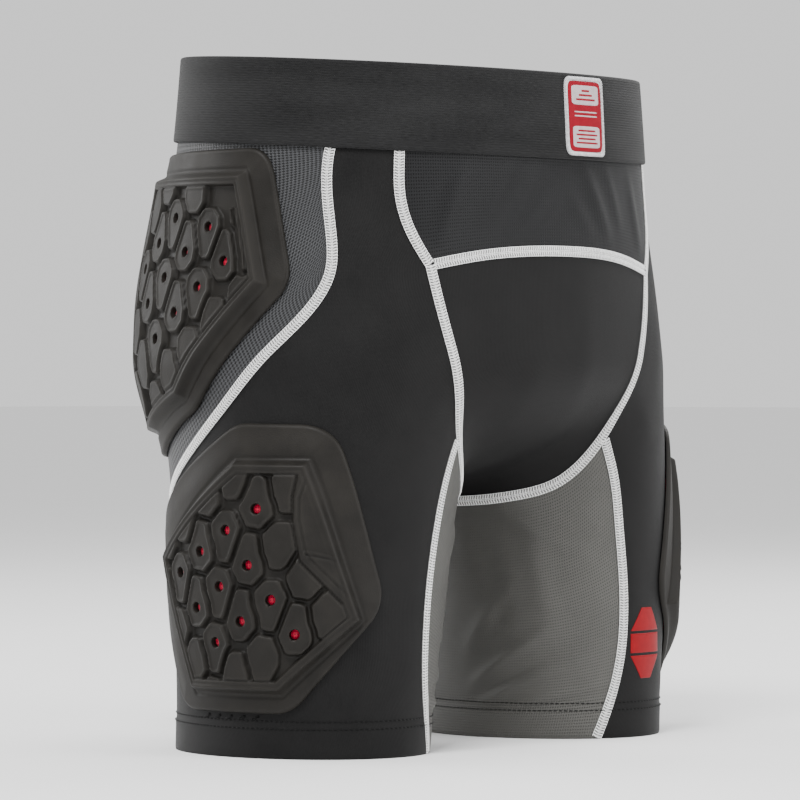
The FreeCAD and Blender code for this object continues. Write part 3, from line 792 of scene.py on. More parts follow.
# ---- finishes
class Weave:
    """Writes a material's nodes."""

    def __init__(self, name: str) -> None:
        """Starts an empty material with one shader.

        Args:
            name: the material's name.
        """
        self.material = bpy.data.materials.new(name)
        self.material.use_nodes = True
        self.tree = self.material.node_tree
        self.tree.nodes.clear()
        self.output = self.tree.nodes.new("ShaderNodeOutputMaterial")
        self.shader = self.tree.nodes.new("ShaderNodeBsdfPrincipled")
        self.tree.links.new(self.shader.outputs[0], self.output.inputs[0])
        self.coordinates = self.tree.nodes.new("ShaderNodeTexCoord")

    def node(self, kind: str, **values: object) -> bpy.types.Node:
        """A new node.

        Args:
            kind: its type, without ShaderNode.
            values: its properties by name, and its sockets as in_NAME or in_NUMBER.

        Returns:
            The node.
        """
        made = self.tree.nodes.new("ShaderNode" + kind)
        for key, value in values.items():
            if key.startswith("in_"):
                socket = key[3:].replace("_", " ")
                self.feed(made.inputs[int(socket) if socket.isdigit() else socket], value)
            else:
                setattr(made, key, value)
        return made

    def feed(self, socket: bpy.types.NodeSocket, value: object) -> None:
        """Links a socket to another, or sets its value.

        Args:
            socket: an input.
            value: a socket or a value.
        """
        if isinstance(value, bpy.types.NodeSocket):
            self.tree.links.new(value, socket)
        else:
            socket.default_value = value

    def math(self, operation: str, a: object, b: object = 0.0, c: object = 0.0) -> bpy.types.NodeSocket:
        """Result of a Math node.

        Args:
            operation: what it does.
            a: its first value or socket.
            b: its second.
            c: its third.

        Returns:
            The result's socket.
        """
        made = self.node("Math", operation=operation)
        for socket, value in zip(made.inputs, (a, b, c)):
            self.feed(socket, value)
        return made.outputs[0]

    def scaled(self, source: bpy.types.NodeSocket, scale: tuple[float, float, float]) -> bpy.types.NodeSocket:
        """Coordinates multiplied by a scale."""
        return self.node("Mapping", in_Vector=source, in_Scale=scale).outputs[0]

    def noise(self, source: bpy.types.NodeSocket, scale: float, detail: float = 3.0) -> bpy.types.NodeSocket:
        """Noise between 0 and 1."""
        return self.node("TexNoise", in_Scale=scale, in_Detail=detail, in_Vector=source).outputs[0]

    def mixed(self, share: object, a: tuple | bpy.types.NodeSocket,
              b: tuple | bpy.types.NodeSocket) -> bpy.types.NodeSocket:
        """Colour between a and b.

        Args:
            share: how much of b there is, a number or a socket.
            a: a colour or a socket.
            b: another.

        Returns:
            The colour's socket.
        """
        made = self.node("Mix", data_type="RGBA")
        self.feed(made.inputs[0], share)
        self.feed(made.inputs[6], a if isinstance(a, bpy.types.NodeSocket) else (*a, 1.0))
        self.feed(made.inputs[7], b if isinstance(b, bpy.types.NodeSocket) else (*b, 1.0))
        return made.outputs[2]

    def between(self, value: object, low: float, high: float, to_low: float,
                to_high: float) -> bpy.types.NodeSocket:
        """A value carried from one range to another and held inside it.

        Args:
            value: a number or a socket.
            low: start of its range.
            high: end of its range.
            to_low: start of the new range.
            to_high: end of the new range.

        Returns:
            The result's socket.
        """
        made = self.node("MapRange")
        for socket, v in zip(made.inputs, (value, low, high, to_low, to_high)):
            self.feed(socket, v)
        return made.outputs[0]

    def relief(self, height: bpy.types.NodeSocket, depth: float, strength: float = 1.0) -> None:
        """Surface relief from a height, as deep as depth in metres."""
        made = self.node("Bump", in_Height=height, in_Strength=strength, in_Distance=depth)
        self.tree.links.new(made.outputs[0], self.shader.inputs["Normal"])

    def set(self, **values: object) -> None:
        """Sets or links the shader's sockets by name, with underscores for spaces."""
        for key, value in values.items():
            socket = self.shader.inputs[key.replace("_", " ")]
            if isinstance(value, tuple) and len(value) == 3 and socket.type == "RGBA":
                value = (*value, 1.0)
            self.feed(socket, value)


@dataclass(frozen=True)
class KnitFinish:
    """Compression knit: fine upright wales, with faint cross courses and a soft sheen."""

    name: str
    dark: tuple[float, float, float]
    light: tuple[float, float, float]
    wale: float = 0.0009
    sheen: float = 0.03
    roughness: float = 0.55
    gloss: float = 0.11

    def material(self) -> bpy.types.Material:
        """Builds the material. Relief is |sin| across the wales times a softer |sin| along them.

        Returns:
            The material.
        """
        w = Weave(self.name)
        cut = w.coordinates.outputs["UV"]
        parts = w.node("SeparateXYZ", in_Vector=cut)
        across = w.math("ABSOLUTE", w.math("SINE", w.math("MULTIPLY", parts.outputs[0], math.pi / self.wale)))
        slant = w.math("ADD", w.math("MULTIPLY", parts.outputs[1], math.pi / (self.wale * 0.8)),
                       w.math("MULTIPLY", across, 0.9))
        loops = w.math("MULTIPLY", w.math("ABSOLUTE", w.math("SINE", slant)), 0.55)
        height = w.math("ADD", across, loops)
        cloudy = w.noise(w.coordinates.outputs["Object"], 38.0, 5.0)
        fine = w.noise(w.coordinates.outputs["Object"], 900.0, 2.0)
        shade = w.math("ADD", w.math("MULTIPLY", cloudy, 0.55), w.math("MULTIPLY", fine, 0.45))
        colour = w.mixed(w.between(shade, 0.35, 0.65, 0.0, 1.0), self.dark, self.light)
        w.set(Base_Color=colour,
              Roughness=w.between(shade, 0.3, 0.7, self.roughness - 0.06, self.roughness + 0.08),
              Sheen_Weight=self.sheen, Sheen_Roughness=0.45, Specular_IOR_Level=self.gloss)
        w.relief(height, 0.00012, 0.55)
        return w.material


@dataclass(frozen=True)
class MeshFinish:
    """Knitted mesh: rows of round holes in a brick layout, seen over a darker ground."""

    name: str
    yarn: tuple[float, float, float]
    hole: tuple[float, float, float]
    pitch: float = 0.0017
    open_share: float = 0.30
    sheen: float = 0.04
    roughness: float = 0.5
    depth: float = 0.00035
    gloss: float = 0.3

    def material(self) -> bpy.types.Material:
        """Builds the material. Its holes are the peaks of cos((u + v) / 2) cos((u - v) / 2), on a plain grid.

        Returns:
            The material.
        """
        w = Weave(self.name)
        parts = w.node("SeparateXYZ", in_Vector=w.coordinates.outputs["UV"])
        u = w.math("MULTIPLY", parts.outputs[0], 2 * math.pi / self.pitch)
        v = w.math("MULTIPLY", parts.outputs[1], 2 * math.pi / (self.pitch * 1.15))
        product = w.math("MULTIPLY", w.math("COSINE", w.math("MULTIPLY", w.math("ADD", u, v), 0.5)),
                         w.math("COSINE", w.math("MULTIPLY", w.math("SUBTRACT", u, v), 0.5)))
        hollow = w.between(product, 1.0 - 2.1 * self.open_share, 1.0 - 0.9 * self.open_share, 0.0, 1.0)
        fine = w.noise(w.coordinates.outputs["Object"], 1400.0, 2.0)
        cloudy = w.noise(w.coordinates.outputs["Object"], 30.0, 4.0)
        mottle = w.math("ADD", w.math("MULTIPLY", fine, 0.6), w.math("MULTIPLY", cloudy, 0.4))
        yarn = w.mixed(w.between(mottle, 0.35, 0.65, 0.0, 1.0), tuple(c * 0.72 for c in self.yarn), self.yarn)
        w.set(Base_Color=w.mixed(hollow, yarn, self.hole), Roughness=self.roughness, Sheen_Weight=self.sheen,
              Sheen_Roughness=0.4, Specular_IOR_Level=self.gloss)
        w.relief(w.math("SUBTRACT", 1.0, hollow), self.depth, 0.8)
        return w.material


@dataclass(frozen=True)
class FoamFinish:
    """Moulded foam skin: fine grain, and a painted highlight that makes the raised edges paler."""

    name: str
    dark: tuple[float, float, float]
    light: tuple[float, float, float]

    def material(self) -> bpy.types.Material:
        """Builds the material. Grain is cellular noise of under a millimetre over a softer mottling.

        Returns:
            The material.
        """
        w = Weave(self.name)
        place = w.coordinates.outputs["Object"]
        grain = w.node("TexVoronoi", in_Vector=place, in_Scale=1500.0)
        mottle = w.noise(place, 60.0, 6.0)
        edge = w.node("NewGeometry").outputs["Pointiness"]
        # painted highlight: the paler colour is laid on raised edges, where the surface is most convex
        edge_highlight = w.between(edge, 0.5, 0.56, 0.0, 1.0)
        shade = w.math("ADD", w.between(mottle, 0.35, 0.65, 0.0, 0.55), w.math("MULTIPLY", edge_highlight, 0.45))
        w.set(Base_Color=w.mixed(shade, self.dark, self.light),
              Roughness=w.between(mottle, 0.3, 0.7, 0.46, 0.6), Specular_IOR_Level=0.16)
        pits = w.math("MULTIPLY", w.noise(place, 420.0, 3.0), 0.8)
        w.relief(w.math("ADD", grain.outputs["Distance"], pits), 0.00010, 0.5)
        return w.material


@dataclass(frozen=True)
class ThreadFinish:
    """Sewing thread: a pale or dark twist with a slight gloss."""

    name: str
    dark: tuple[float, float, float]
    light: tuple[float, float, float]
    gloss: float = 0.5

    def material(self) -> bpy.types.Material:
        """Builds the material from fine noise.

        Returns:
            The material.
        """
        w = Weave(self.name)
        place = w.coordinates.outputs["Object"]
        shade = w.between(w.noise(place, 700.0, 3.0), 0.35, 0.65, 0.0, 1.0)
        w.set(Base_Color=w.mixed(shade, self.dark, self.light), Roughness=0.48, Sheen_Weight=0.05,
              Specular_IOR_Level=self.gloss)
        w.relief(w.noise(place, 2500.0, 2.0), 0.00008, 0.6)
        return w.material


@dataclass(frozen=True)
class ElasticFinish:
    """Brushed elastic: level ribs, short fuzz and a soft sheen."""

    name: str
    dark: tuple[float, float, float]
    light: tuple[float, float, float]
    rib: float = 0.00135

    def material(self) -> bpy.types.Material:
        """Builds the material. Ribs are |sin| of the height, broken by noise stretched along them.

        Returns:
            The material.
        """
        w = Weave(self.name)
        cut = w.coordinates.outputs["UV"]
        parts = w.node("SeparateXYZ", in_Vector=cut)
        ribs = w.math("ABSOLUTE", w.math("SINE", w.math("MULTIPLY", parts.outputs[1], math.pi / self.rib)))
        hairs = w.noise(w.scaled(cut, (260.0, 2600.0, 1.0)), 1.0, 4.0)
        cloud = w.noise(w.scaled(cut, (18.0, 60.0, 1.0)), 1.0, 4.0)
        shade = w.math("ADD", w.math("MULTIPLY", hairs, 0.6), w.math("MULTIPLY", cloud, 0.4))
        w.set(Base_Color=w.mixed(w.between(shade, 0.38, 0.62, 0.0, 1.0), self.dark, self.light),
              Roughness=0.85,
              Sheen_Weight=0.06, Sheen_Roughness=0.5, Specular_IOR_Level=0.15)
        w.relief(w.math("ADD", w.math("MULTIPLY", ribs, 0.6), hairs), 0.00022, 0.6)
        return w.material


@dataclass(frozen=True)
class PrintFinish:
    """Heat-pressed print or rubbery label colour: even, satin, with the cloth's grain showing through."""

    name: str
    colour: tuple[float, float, float]
    roughness: float = 0.42

    def material(self) -> bpy.types.Material:
        """Builds the material from faint noise.

        Returns:
            The material.
        """
        w = Weave(self.name)
        place = w.coordinates.outputs["Object"]
        shade = w.between(w.noise(place, 260.0, 4.0), 0.3, 0.7, 0.0, 1.0)
        w.set(Base_Color=w.mixed(shade, tuple(c * 0.82 for c in self.colour), self.colour),
              Roughness=self.roughness, Specular_IOR_Level=0.12)
        w.relief(w.noise(place, 1300.0, 2.0), 0.00006, 0.5)
        return w.material


@dataclass
class Wardrobe:
    """All finishes, made once."""

    stretch: bpy.types.Material = field(init=False)
    yoke: bpy.types.Material = field(init=False)
    hip: bpy.types.Material = field(init=False)
    thigh: bpy.types.Material = field(init=False)
    foam: bpy.types.Material = field(init=False)
    liner: bpy.types.Material = field(init=False)
    white_thread: bpy.types.Material = field(init=False)
    seam_bed: bpy.types.Material = field(init=False)
    black_thread: bpy.types.Material = field(init=False)
    elastic: bpy.types.Material = field(init=False)
    red_print: bpy.types.Material = field(init=False)
    label_red: bpy.types.Material = field(init=False)
    label_grey: bpy.types.Material = field(init=False)
    label_border: bpy.types.Material = field(init=False)

    def __post_init__(self) -> None:
        """Makes the materials."""
        self.stretch = KnitFinish("black compression knit", dark=(0.0038, 0.0037, 0.0038),
                                  light=(0.0078, 0.0076, 0.0076)).material()
        self.yoke = MeshFinish("black yoke mesh", yarn=(0.0110, 0.0112, 0.0119),
                               hole=(0.0013, 0.0013, 0.0015), pitch=0.0014, open_share=0.34,
                               gloss=0.13).material()
        self.hip = MeshFinish("black hip mesh", yarn=(0.044, 0.0452, 0.0485), hole=(0.0024, 0.0024, 0.0028),
                              pitch=0.0023, open_share=0.6).material()
        self.thigh = MeshFinish("grey thigh mesh", yarn=(0.078, 0.0765, 0.0700), hole=(0.020, 0.0195, 0.0178),
                                pitch=0.0014, open_share=0.34).material()
        self.foam = FoamFinish("moulded foam", (0.0078, 0.0069, 0.0058), (0.0165, 0.0149, 0.0128)).material()
        self.liner = MeshFinish("crimson mesh", yarn=(0.52, 0.002, 0.035), hole=(0.16, 0.0, 0.012),
                                pitch=0.0014, open_share=0.3).material()
        self.white_thread = ThreadFinish("white thread", (0.74, 0.74, 0.73), (0.92, 0.92, 0.91)).material()
        self.seam_bed = ThreadFinish("seam under threads", (0.11, 0.11, 0.11), (0.24, 0.24, 0.24)).material()
        self.black_thread = ThreadFinish("black thread", (0.0015, 0.0015, 0.0015), (0.004, 0.004, 0.004),
                                         gloss=0.08).material()
        self.elastic = ElasticFinish("brushed elastic", dark=(0.0045, 0.0045, 0.0047),
                                     light=(0.0135, 0.0135, 0.0138)).material()
        self.red_print = PrintFinish("red print", (0.23, 0.0, 0.004)).material()
        self.label_red = PrintFinish("label red", (0.23, 0.0, 0.010), 0.5).material()
        self.label_grey = PrintFinish("label grey", (0.46, 0.40, 0.41), 0.5).material()
        self.label_border = ThreadFinish("label border", (0.46, 0.46, 0.47), (0.64, 0.64, 0.65)).material()


# ---- cloth
class Hold(Enum):
    STRETCHED = "stretched"


@dataclass
class ClothPanels:
    """The eight cut panels of the shorts, each a closed sheet of stretch cloth."""

    pattern: Pattern
    wardrobe: Wardrobe
    thickness: float = 1.0
    gap: float = 0.12
    hem_fold: float = 17.0
    hem_extra: float = 0.45
    cut_share: float = 0.94      # a panel's cut size as a share of its worn size

    def leg(self) -> Array:
        """The leg panel: round the outer thigh, and up beside the yoke.

        Returns:
            Rows of points on the skin.
        """
        p, columns = self.pattern, 121
        skin = p.skin
        mid = nearest(p.inseam_front, p.inseam_front[0] + (p.inseam_front[-1] - p.inseam_front[0]) * 0.5)
        turn_back = nearest(p.hip_seam, skin.around(2, 180))
        turn_front = nearest(p.hip_seam, skin.front(129, 262))
        low = p.chart_line(p.inseam_front[mid], p.thigh_corner, 241)
        crease = p.chart_line(p.crease_corner, p.hip_seam[turn_back], 181)
        corner = p.chart_line(p.yoke_corner, p.hip_seam[turn_front], 61)
        top = p.band_arc(p.yoke_side[0], p.hip_seam[0], 41)
        hem = p.hem_arc(p.inseam_front[-1], p.inseam_back[0], 241)
        return stacked([
            p.blended(p.inseam_front[:mid - 1:-1], p.inseam_back, hem, low, 56, columns),
            p.blended(p.inseam_front[mid::-1], p.hip_seam[:turn_back - 1:-1], low, crease, 50, columns),
            p.blended(p.pouch_side[p.crease_share::-1], p.hip_seam[turn_back:turn_front - 1:-1],
                      crease, corner,
                      50, columns),
            p.blended(p.yoke_side[::-1], p.hip_seam[turn_front::-1], corner, top, 32, columns)])

    def hip(self) -> Array:
        """The mesh over hip and seat.

        Returns:
            Rows of points on the skin.
        """
        p = self.pattern
        turn = nearest(p.hip_seam, p.skin.front(131, 256))
        return p.blended(p.hip_seam[turn::-1], p.seat_side, p.hip_seam[turn:],
                         p.band_arc(p.hip_seam[0], p.seat_side[-1], 121), 120, 110)

    def inner_thigh(self) -> Array:
        """The grey mesh inside the thigh.

        Returns:
            Rows of points on the skin.
        """
        p = self.pattern
        top = np.concatenate([p.gusset_back[::-1], p.pouch_side[:p.crease_share - 1:-1][1:]])
        return p.blended(p.back_line[:p.fold_share + 1], p.inseam_front[::-1],
                         p.hem_arc(p.inseam_back[0], p.inseam_front[-1], 161, 0.0), top, 84, 96, turn=0.0)

    def yoke(self) -> Array:
        """The mesh under the front of the waistband.

        Returns:
            Rows of points on the skin.
        """
        p = self.pattern
        right = p.yoke_side[::-1]
        top = p.band_arc(mirrored(p.yoke_side)[0], p.yoke_side[0], 121, middle=True)
        return p.blended(mirrored(right), right, p.yoke_low[::-1], top, 44, 112, wrap=False)

    def pouch(self) -> Array:
        """The black front panel that runs under the crotch.

        Returns:
            Rows of points on the skin.
        """
        p = self.pattern
        right = p.pouch_side[::-1]
        return p.blended(mirrored(right), right, p.cross_line, p.yoke_low[::-1], 130, 84, wrap=False)

    def back_centre(self) -> Array:
        """The centre of the seat with the gusset below it.

        Returns:
            Rows of points on the skin.
        """
        p = self.pattern
        top = p.band_arc(mirrored(p.back_side)[-1], p.back_side[-1], 81, middle=True)
        gusset, seat = p.gusset_back, p.back_side
        return stacked([p.blended(mirrored(gusset), gusset, p.cross_line, p.fold_line, 26, 64, wrap=False),
                        p.blended(mirrored(seat), seat, p.fold_line, top, 110, 64, wrap=False)])

    def sheet(self, grid: Array) -> Shell:
        """A closed sheet from a grid, a little short of its seam lines, with a thicker hem.

        Args:
            grid: (rows, columns, 3) points on the skin.

        Returns:
            The closed sheet.
        """
        grid = grid.copy()
        for edge, inner in ((grid[:, 0], grid[:, 1]), (grid[:, -1], grid[:, -2])):
            edge += unit(inner - edge) * self.gap
        if grid[0, 0, 2] > 0.5:
            grid[0] += unit(grid[1] - grid[0]) * self.gap
        grid[-1] += unit(grid[-2] - grid[-1]) * self.gap
        hem = self.hem_extra * (1 - ramp(grid[..., 2], self.hem_fold - 1.0, self.hem_fold + 0.6))
        hem *= ramp(grid[..., 2], -0.1, 0.8) * 0.6 + 0.4
        outer = self.pattern.skin.raised(grid, hem)
        inner_face = self.pattern.skin.raised(grid, -self.thickness - hem * 0.3)
        return closed_sheet(outer, inner_face, flat_cut(grid))

    def build(self) -> None:
        """Makes all eight panels."""
        w = self.wardrobe
        middle = [("front_yoke_mesh", self.yoke(), w.yoke, "yoke_mesh"),
                  ("front_pouch", self.pouch(), w.stretch, "black_stretch"),
                  ("back_centre_panel", self.back_centre(), w.stretch, "black_stretch")]
        for name, grid, finish, slot in middle:
            shell = self.sheet(grid)
            make_piece(name + "_cloth", shell, finish, slot, [name])
        sided = [("leg_panel", self.leg(), w.stretch, "black_stretch"),
                 ("hip_panel_mesh", self.hip(), w.hip, "hip_mesh"),
                 ("inner_thigh_mesh", self.inner_thigh(), w.thigh, "grey_mesh")]
        for name, grid, finish, slot in sided:
            shell = self.sheet(grid)
            for side in Side:
                node = side.prefix + name
                make_piece(node + "_cloth", shell.placed(side), finish, slot, [node])


# ---- thread
def threads(centre: Array, along: Array, up: Array, length: Array | float, radius: float, arch: float,
            rings: int = 5, sides: int = 5) -> Shell:
    """Many short stitches of thread.

    A stitch is a tube whose middle line runs along, arching up by arch times sin(pi t), and whose radius is
    the thread's times (1 - |2t - 1|^6) to the power 0.5, closed by a pole at each end.

    Args:
        centre: (n, 3) middles.
        along: (n, 3) directions.
        up: (n, 3) outward normals.
        length: lengths, one or n.
        radius: the thread's radius.
        arch: how far the middle stands up.
        rings: rings between the poles.
        sides: points in a ring.

    Returns:
        The stitches as one shell.
    """
    n = len(centre)
    across = unit(np.cross(up, along))
    t = np.linspace(0.06, 0.94, rings)
    turn = np.arange(sides) * (2 * np.pi / sides)
    long = np.broadcast_to(np.asarray(length, float), (n,))
    spine = (centre[:, None] + along[:, None] * ((t - 0.5)[None, :, None] * long[:, None, None])
             + up[:, None] * (arch * np.sin(np.pi * t))[None, :, None])
    size = radius * np.sqrt(np.maximum(1 - np.abs(2 * t - 1) ** 6, 0.12))
    ring = (across[:, None, None] * np.cos(turn)[None, None, :, None]
            + up[:, None, None] * np.sin(turn)[None, None, :, None]) * size[None, :, None, None]
    body = (spine[:, :, None] + ring).reshape(n, rings * sides, 3)
    poles = np.stack([centre - along * (long / 2)[:, None], centre + along * (long / 2)[:, None]], 1)
    points = np.concatenate([body, poles], 1)
    step = rings * sides + 2
    one = lattice_quads(rings, sides, loop_columns=True)
    k = np.arange(sides)
    first = np.stack([(k + 1) % sides, k, np.full(sides, rings * sides)], -1)
    last = np.stack([(rings - 1) * sides + k, (rings - 1) * sides + (k + 1) % sides,
                     np.full(sides, rings * sides + 1)], -1)
    starts = (np.arange(n) * step)[:, None, None]
    return Shell(points.reshape(-1, 3), (one[None] + starts).reshape(-1, 4),
                 (np.concatenate([first, last])[None] + starts).reshape(-1, 3))


@dataclass
class Trace:
    """A line on the skin with its directions, for sewing along."""

    skin: Skin
    line: Array
    points: Array = field(init=False)
    along: Array = field(init=False)
    up: Array = field(init=False)
    across: Array = field(init=False)

    def __post_init__(self) -> None:
        """Works out the directions at each point."""
        self.points = self.line
        self.along = unit(np.gradient(self.line, axis=0))
        self.up = self.skin.normals(self.line)
        self.across = unit(np.cross(self.up, self.along))
        self.along = unit(np.cross(self.across, self.up))

    def beside(self, offset: Array | float, lift: Array | float) -> Array:
        """Points beside the line on the skin, lifted.

        Args:
            offset: how far across the line, in mm.
            lift: how far above the skin, in mm.

        Returns:
            A point for each of the line's points.
        """
        q = self.points + self.across * np.broadcast_to(offset, (len(self.points),))[:, None]
        level = self.points[:, 2] < 0.5
        settled = self.skin.settle(q)
        settled[level] = self.skin.settle(q[level], keep_height=True)
        return self.skin.raised(settled, np.broadcast_to(np.asarray(lift, float), (len(q),)))


@dataclass
class FlatlockSeam:
    """A flatlock seam: a low bed over the butted edges, and two rows of cross threads between rails."""

    skin: Skin
    line: Array
    width: float = 5.6
    height: float = 0.62
    pitch: float = 1.55
    thread: float = 0.34

    def bed(self) -> Shell:
        """The bed, whose height across is 0.04 + height (1 - u^4), with u from -1 to 1.

        Returns:
            The closed bed.
        """
        count = max(12, round(length_of(self.line) / 1.6))
        trace = Trace(self.skin, spaced(self.line, count))
        u = np.linspace(-1, 1, 9)
        lifts = 0.04 + self.height * (1 - np.abs(u) ** 4)
        outer = np.stack([trace.beside(k * self.width / 2, h) for k, h in zip(u, lifts)], 1)
        inner = np.stack([trace.beside(k * self.width / 2, -0.25) for k in u], 1)
        return closed_sheet(outer[:, ::-1], inner[:, ::-1], np.zeros(outer.shape[:2] + (2,)))

    def stitches(self) -> Shell:
        """Cross threads slanting one way in one row and the other way in the other, and the four rails.

        Returns:
            The threads.
        """
        count = max(4, round(length_of(self.line) / self.pitch))
        marks = (np.arange(count) + 0.5) / count
        fine = spaced(self.line, 4 * count + 1)
        trace = Trace(self.skin, spaced(fine, count * 2 + 1)[1::2])
        pieces = []
        for row, slant in ((-1, 0.36), (1, -0.36)):
            centre = trace.beside(row * self.width * 0.26, self.height)
            turned = unit(trace.across + trace.along * slant)
            wobble = 1.0 + 0.06 * np.sin(marks * count * 2.399)
            pieces.append(threads(centre, turned, trace.up, self.width * 0.43 * wobble, self.thread, 0.22))
        for offset in (-0.47, -0.06, 0.06, 0.47):
            centre = trace.beside(offset * self.width, 0.52 if abs(offset) > 0.3 else 0.66)
            pieces.append(threads(centre, trace.along, trace.up, self.pitch * 0.98, self.thread * 0.8, 0.1,
                                  rings=3))
        return joined(pieces)


@dataclass
class Sewing:
    """All seams and stitches."""

    pattern: Pattern
    wardrobe: Wardrobe
    hem_rows: dict[float, float] = field(default_factory=lambda: {16.0: 0.61, 20.0: 0.16})
    hem_stitch: float = 2.1
    hem_step: float = 2.9
    hem_thread: float = 0.3

    def flatlock(self, name: str, line: Array, start: float, end: float,
                 sides: Sequence[Side] = tuple(Side)) -> None:
        """One flatlock seam and its mirror image, or one seam across the middle.

        Args:
            name: the seam's name without its side.
            line: its line on the skin.
            start: how far after the line's start it starts, in mm.
            end: how far before the line's end it ends.
            sides: both sides, or none for a seam across the middle.
        """
        seam = FlatlockSeam(self.pattern.skin, shortened(line, start, end))
        bed, stitches = seam.bed(), seam.stitches()
        for side in sides or (Side.LEFT,):
            node = (side.prefix if sides else "") + name
            make_piece(node + "_bed", bed.placed(side), self.wardrobe.seam_bed, "white_thread", [node])
            make_piece(node + "_threads", stitches.placed(side), self.wardrobe.white_thread, "white_thread")

    def hem(self) -> None:
        """Two rows of black stitches round each hem, by height and lift, the lower one on the folded hem."""
        skin, pieces = self.pattern.skin, []
        degrees = np.linspace(0, 360, 721)
        for height, lift in self.hem_rows.items():
            ring = skin.around(degrees, np.full(len(degrees), height))
            trace = Trace(skin, spaced(ring, round(length_of(ring) / self.hem_step) + 1)[:-1])
            pieces.append(threads(trace.beside(0.0, lift), trace.along, trace.up, self.hem_stitch,
                                  self.hem_thread, 0.12))
        shell = joined(pieces)
        for side in Side:
            make_piece(side.prefix + "hem_stitches", shell.placed(side), self.wardrobe.black_thread,
                       "black_thread", [side.prefix + "hem_stitching"])

    def build(self) -> None:
        """Makes every seam. Each stops short of its line's ends, where it meets another."""
        p = self.pattern
        self.flatlock("yoke_side_seam", p.yoke_side, 6.2, 0.4)
        self.flatlock("yoke_seam", p.yoke_low, 2.4, 2.4, ())
        self.flatlock("pouch_seam", p.under_line, 0.0, 2.4)
        self.flatlock("inseam_front_seam", p.inseam_front, 3.0, 0.8)
        self.flatlock("hip_seam", p.hip_seam, 6.2, 2.6)
        self.flatlock("back_seam", p.back_line, 0.8, 6.2)
        self.flatlock("crotch_cross_seam", p.cross_line, 2.4, 2.4, ())
        self.hem()


# ---- moulded pads
def polygon_distance(p: Array, polygon: Sequence[Point]) -> Array:
    """Signed distance to a polygon, negative inside.

    The size is the least distance to any side, and the sign comes from the number of sides that a ray
    crosses.

    Args:
        p: points of the plane.
        polygon: its corners in order.

    Returns:
        The distance of each point.
    """
    v = np.asarray(polygon, float)
    best = np.full(p.shape[:-1], np.inf)
    inside = np.zeros(p.shape[:-1], bool)
    for a, b in zip(v, np.roll(v, -1, axis=0)):
        best = np.minimum(best, run_gap(p, a, b)[0])
        crosses = (a[1] > p[..., 1]) != (b[1] > p[..., 1])
        at = a[0] + (p[..., 1] - a[1]) * (b[0] - a[0]) / (b[1] - a[1] + 1e-12)
        inside ^= crosses & (p[..., 0] < at)
    return np.where(inside, -best, best)


def line_distance(p: Array, line: Sequence[Point]) -> Array:
    """Distance to an open line of straight runs.

    Args:
        p: points of the plane.
        line: the line's points in order.

    Returns:
        The distance of each point.
    """
    v, best = np.asarray(line, float), np.full(p.shape[:-1], np.inf)
    for a, b in zip(v[:-1], v[1:]):
        best = np.minimum(best, run_gap(p, a, b)[0])
    return best


class PointWay(Enum):
    """Which way a pod's point looks."""

    UP = 1.0
    DOWN = -1.0


@dataclass(frozen=True)
class Pod:
    """The core of one raised cell of the moulded pattern: a hexagon with a blunt point, or a plain one."""

    a: float
    b: float
    way: PointWay
    vented: bool
    scale: float = 1.0

    def outline(self) -> list[Point]:
        """Corners round the vent.

        Returns:
            The corners in order.
        """
        if self.vented:
            shape = [(-5.6, 1.6), (-5.2, -3.6), (-2.2, -6.6), (2.2, -6.6), (5.2, -3.6), (5.6, 1.6),
                     (1.2, 13.6),
                     (-1.2, 13.6)]
        else:
            shape = [(-5.6, 4.0), (-5.6, -4.0), (-2.8, -7.6), (2.8, -7.6), (5.6, -4.0), (5.6, 4.0),
                     (2.6, 9.6),
                     (-2.6, 9.6)]
        flip = self.way.value
        points = [(self.a + x * self.scale, self.b + y * flip * self.scale) for x, y in shape]
        return points if flip > 0 else points[::-1]


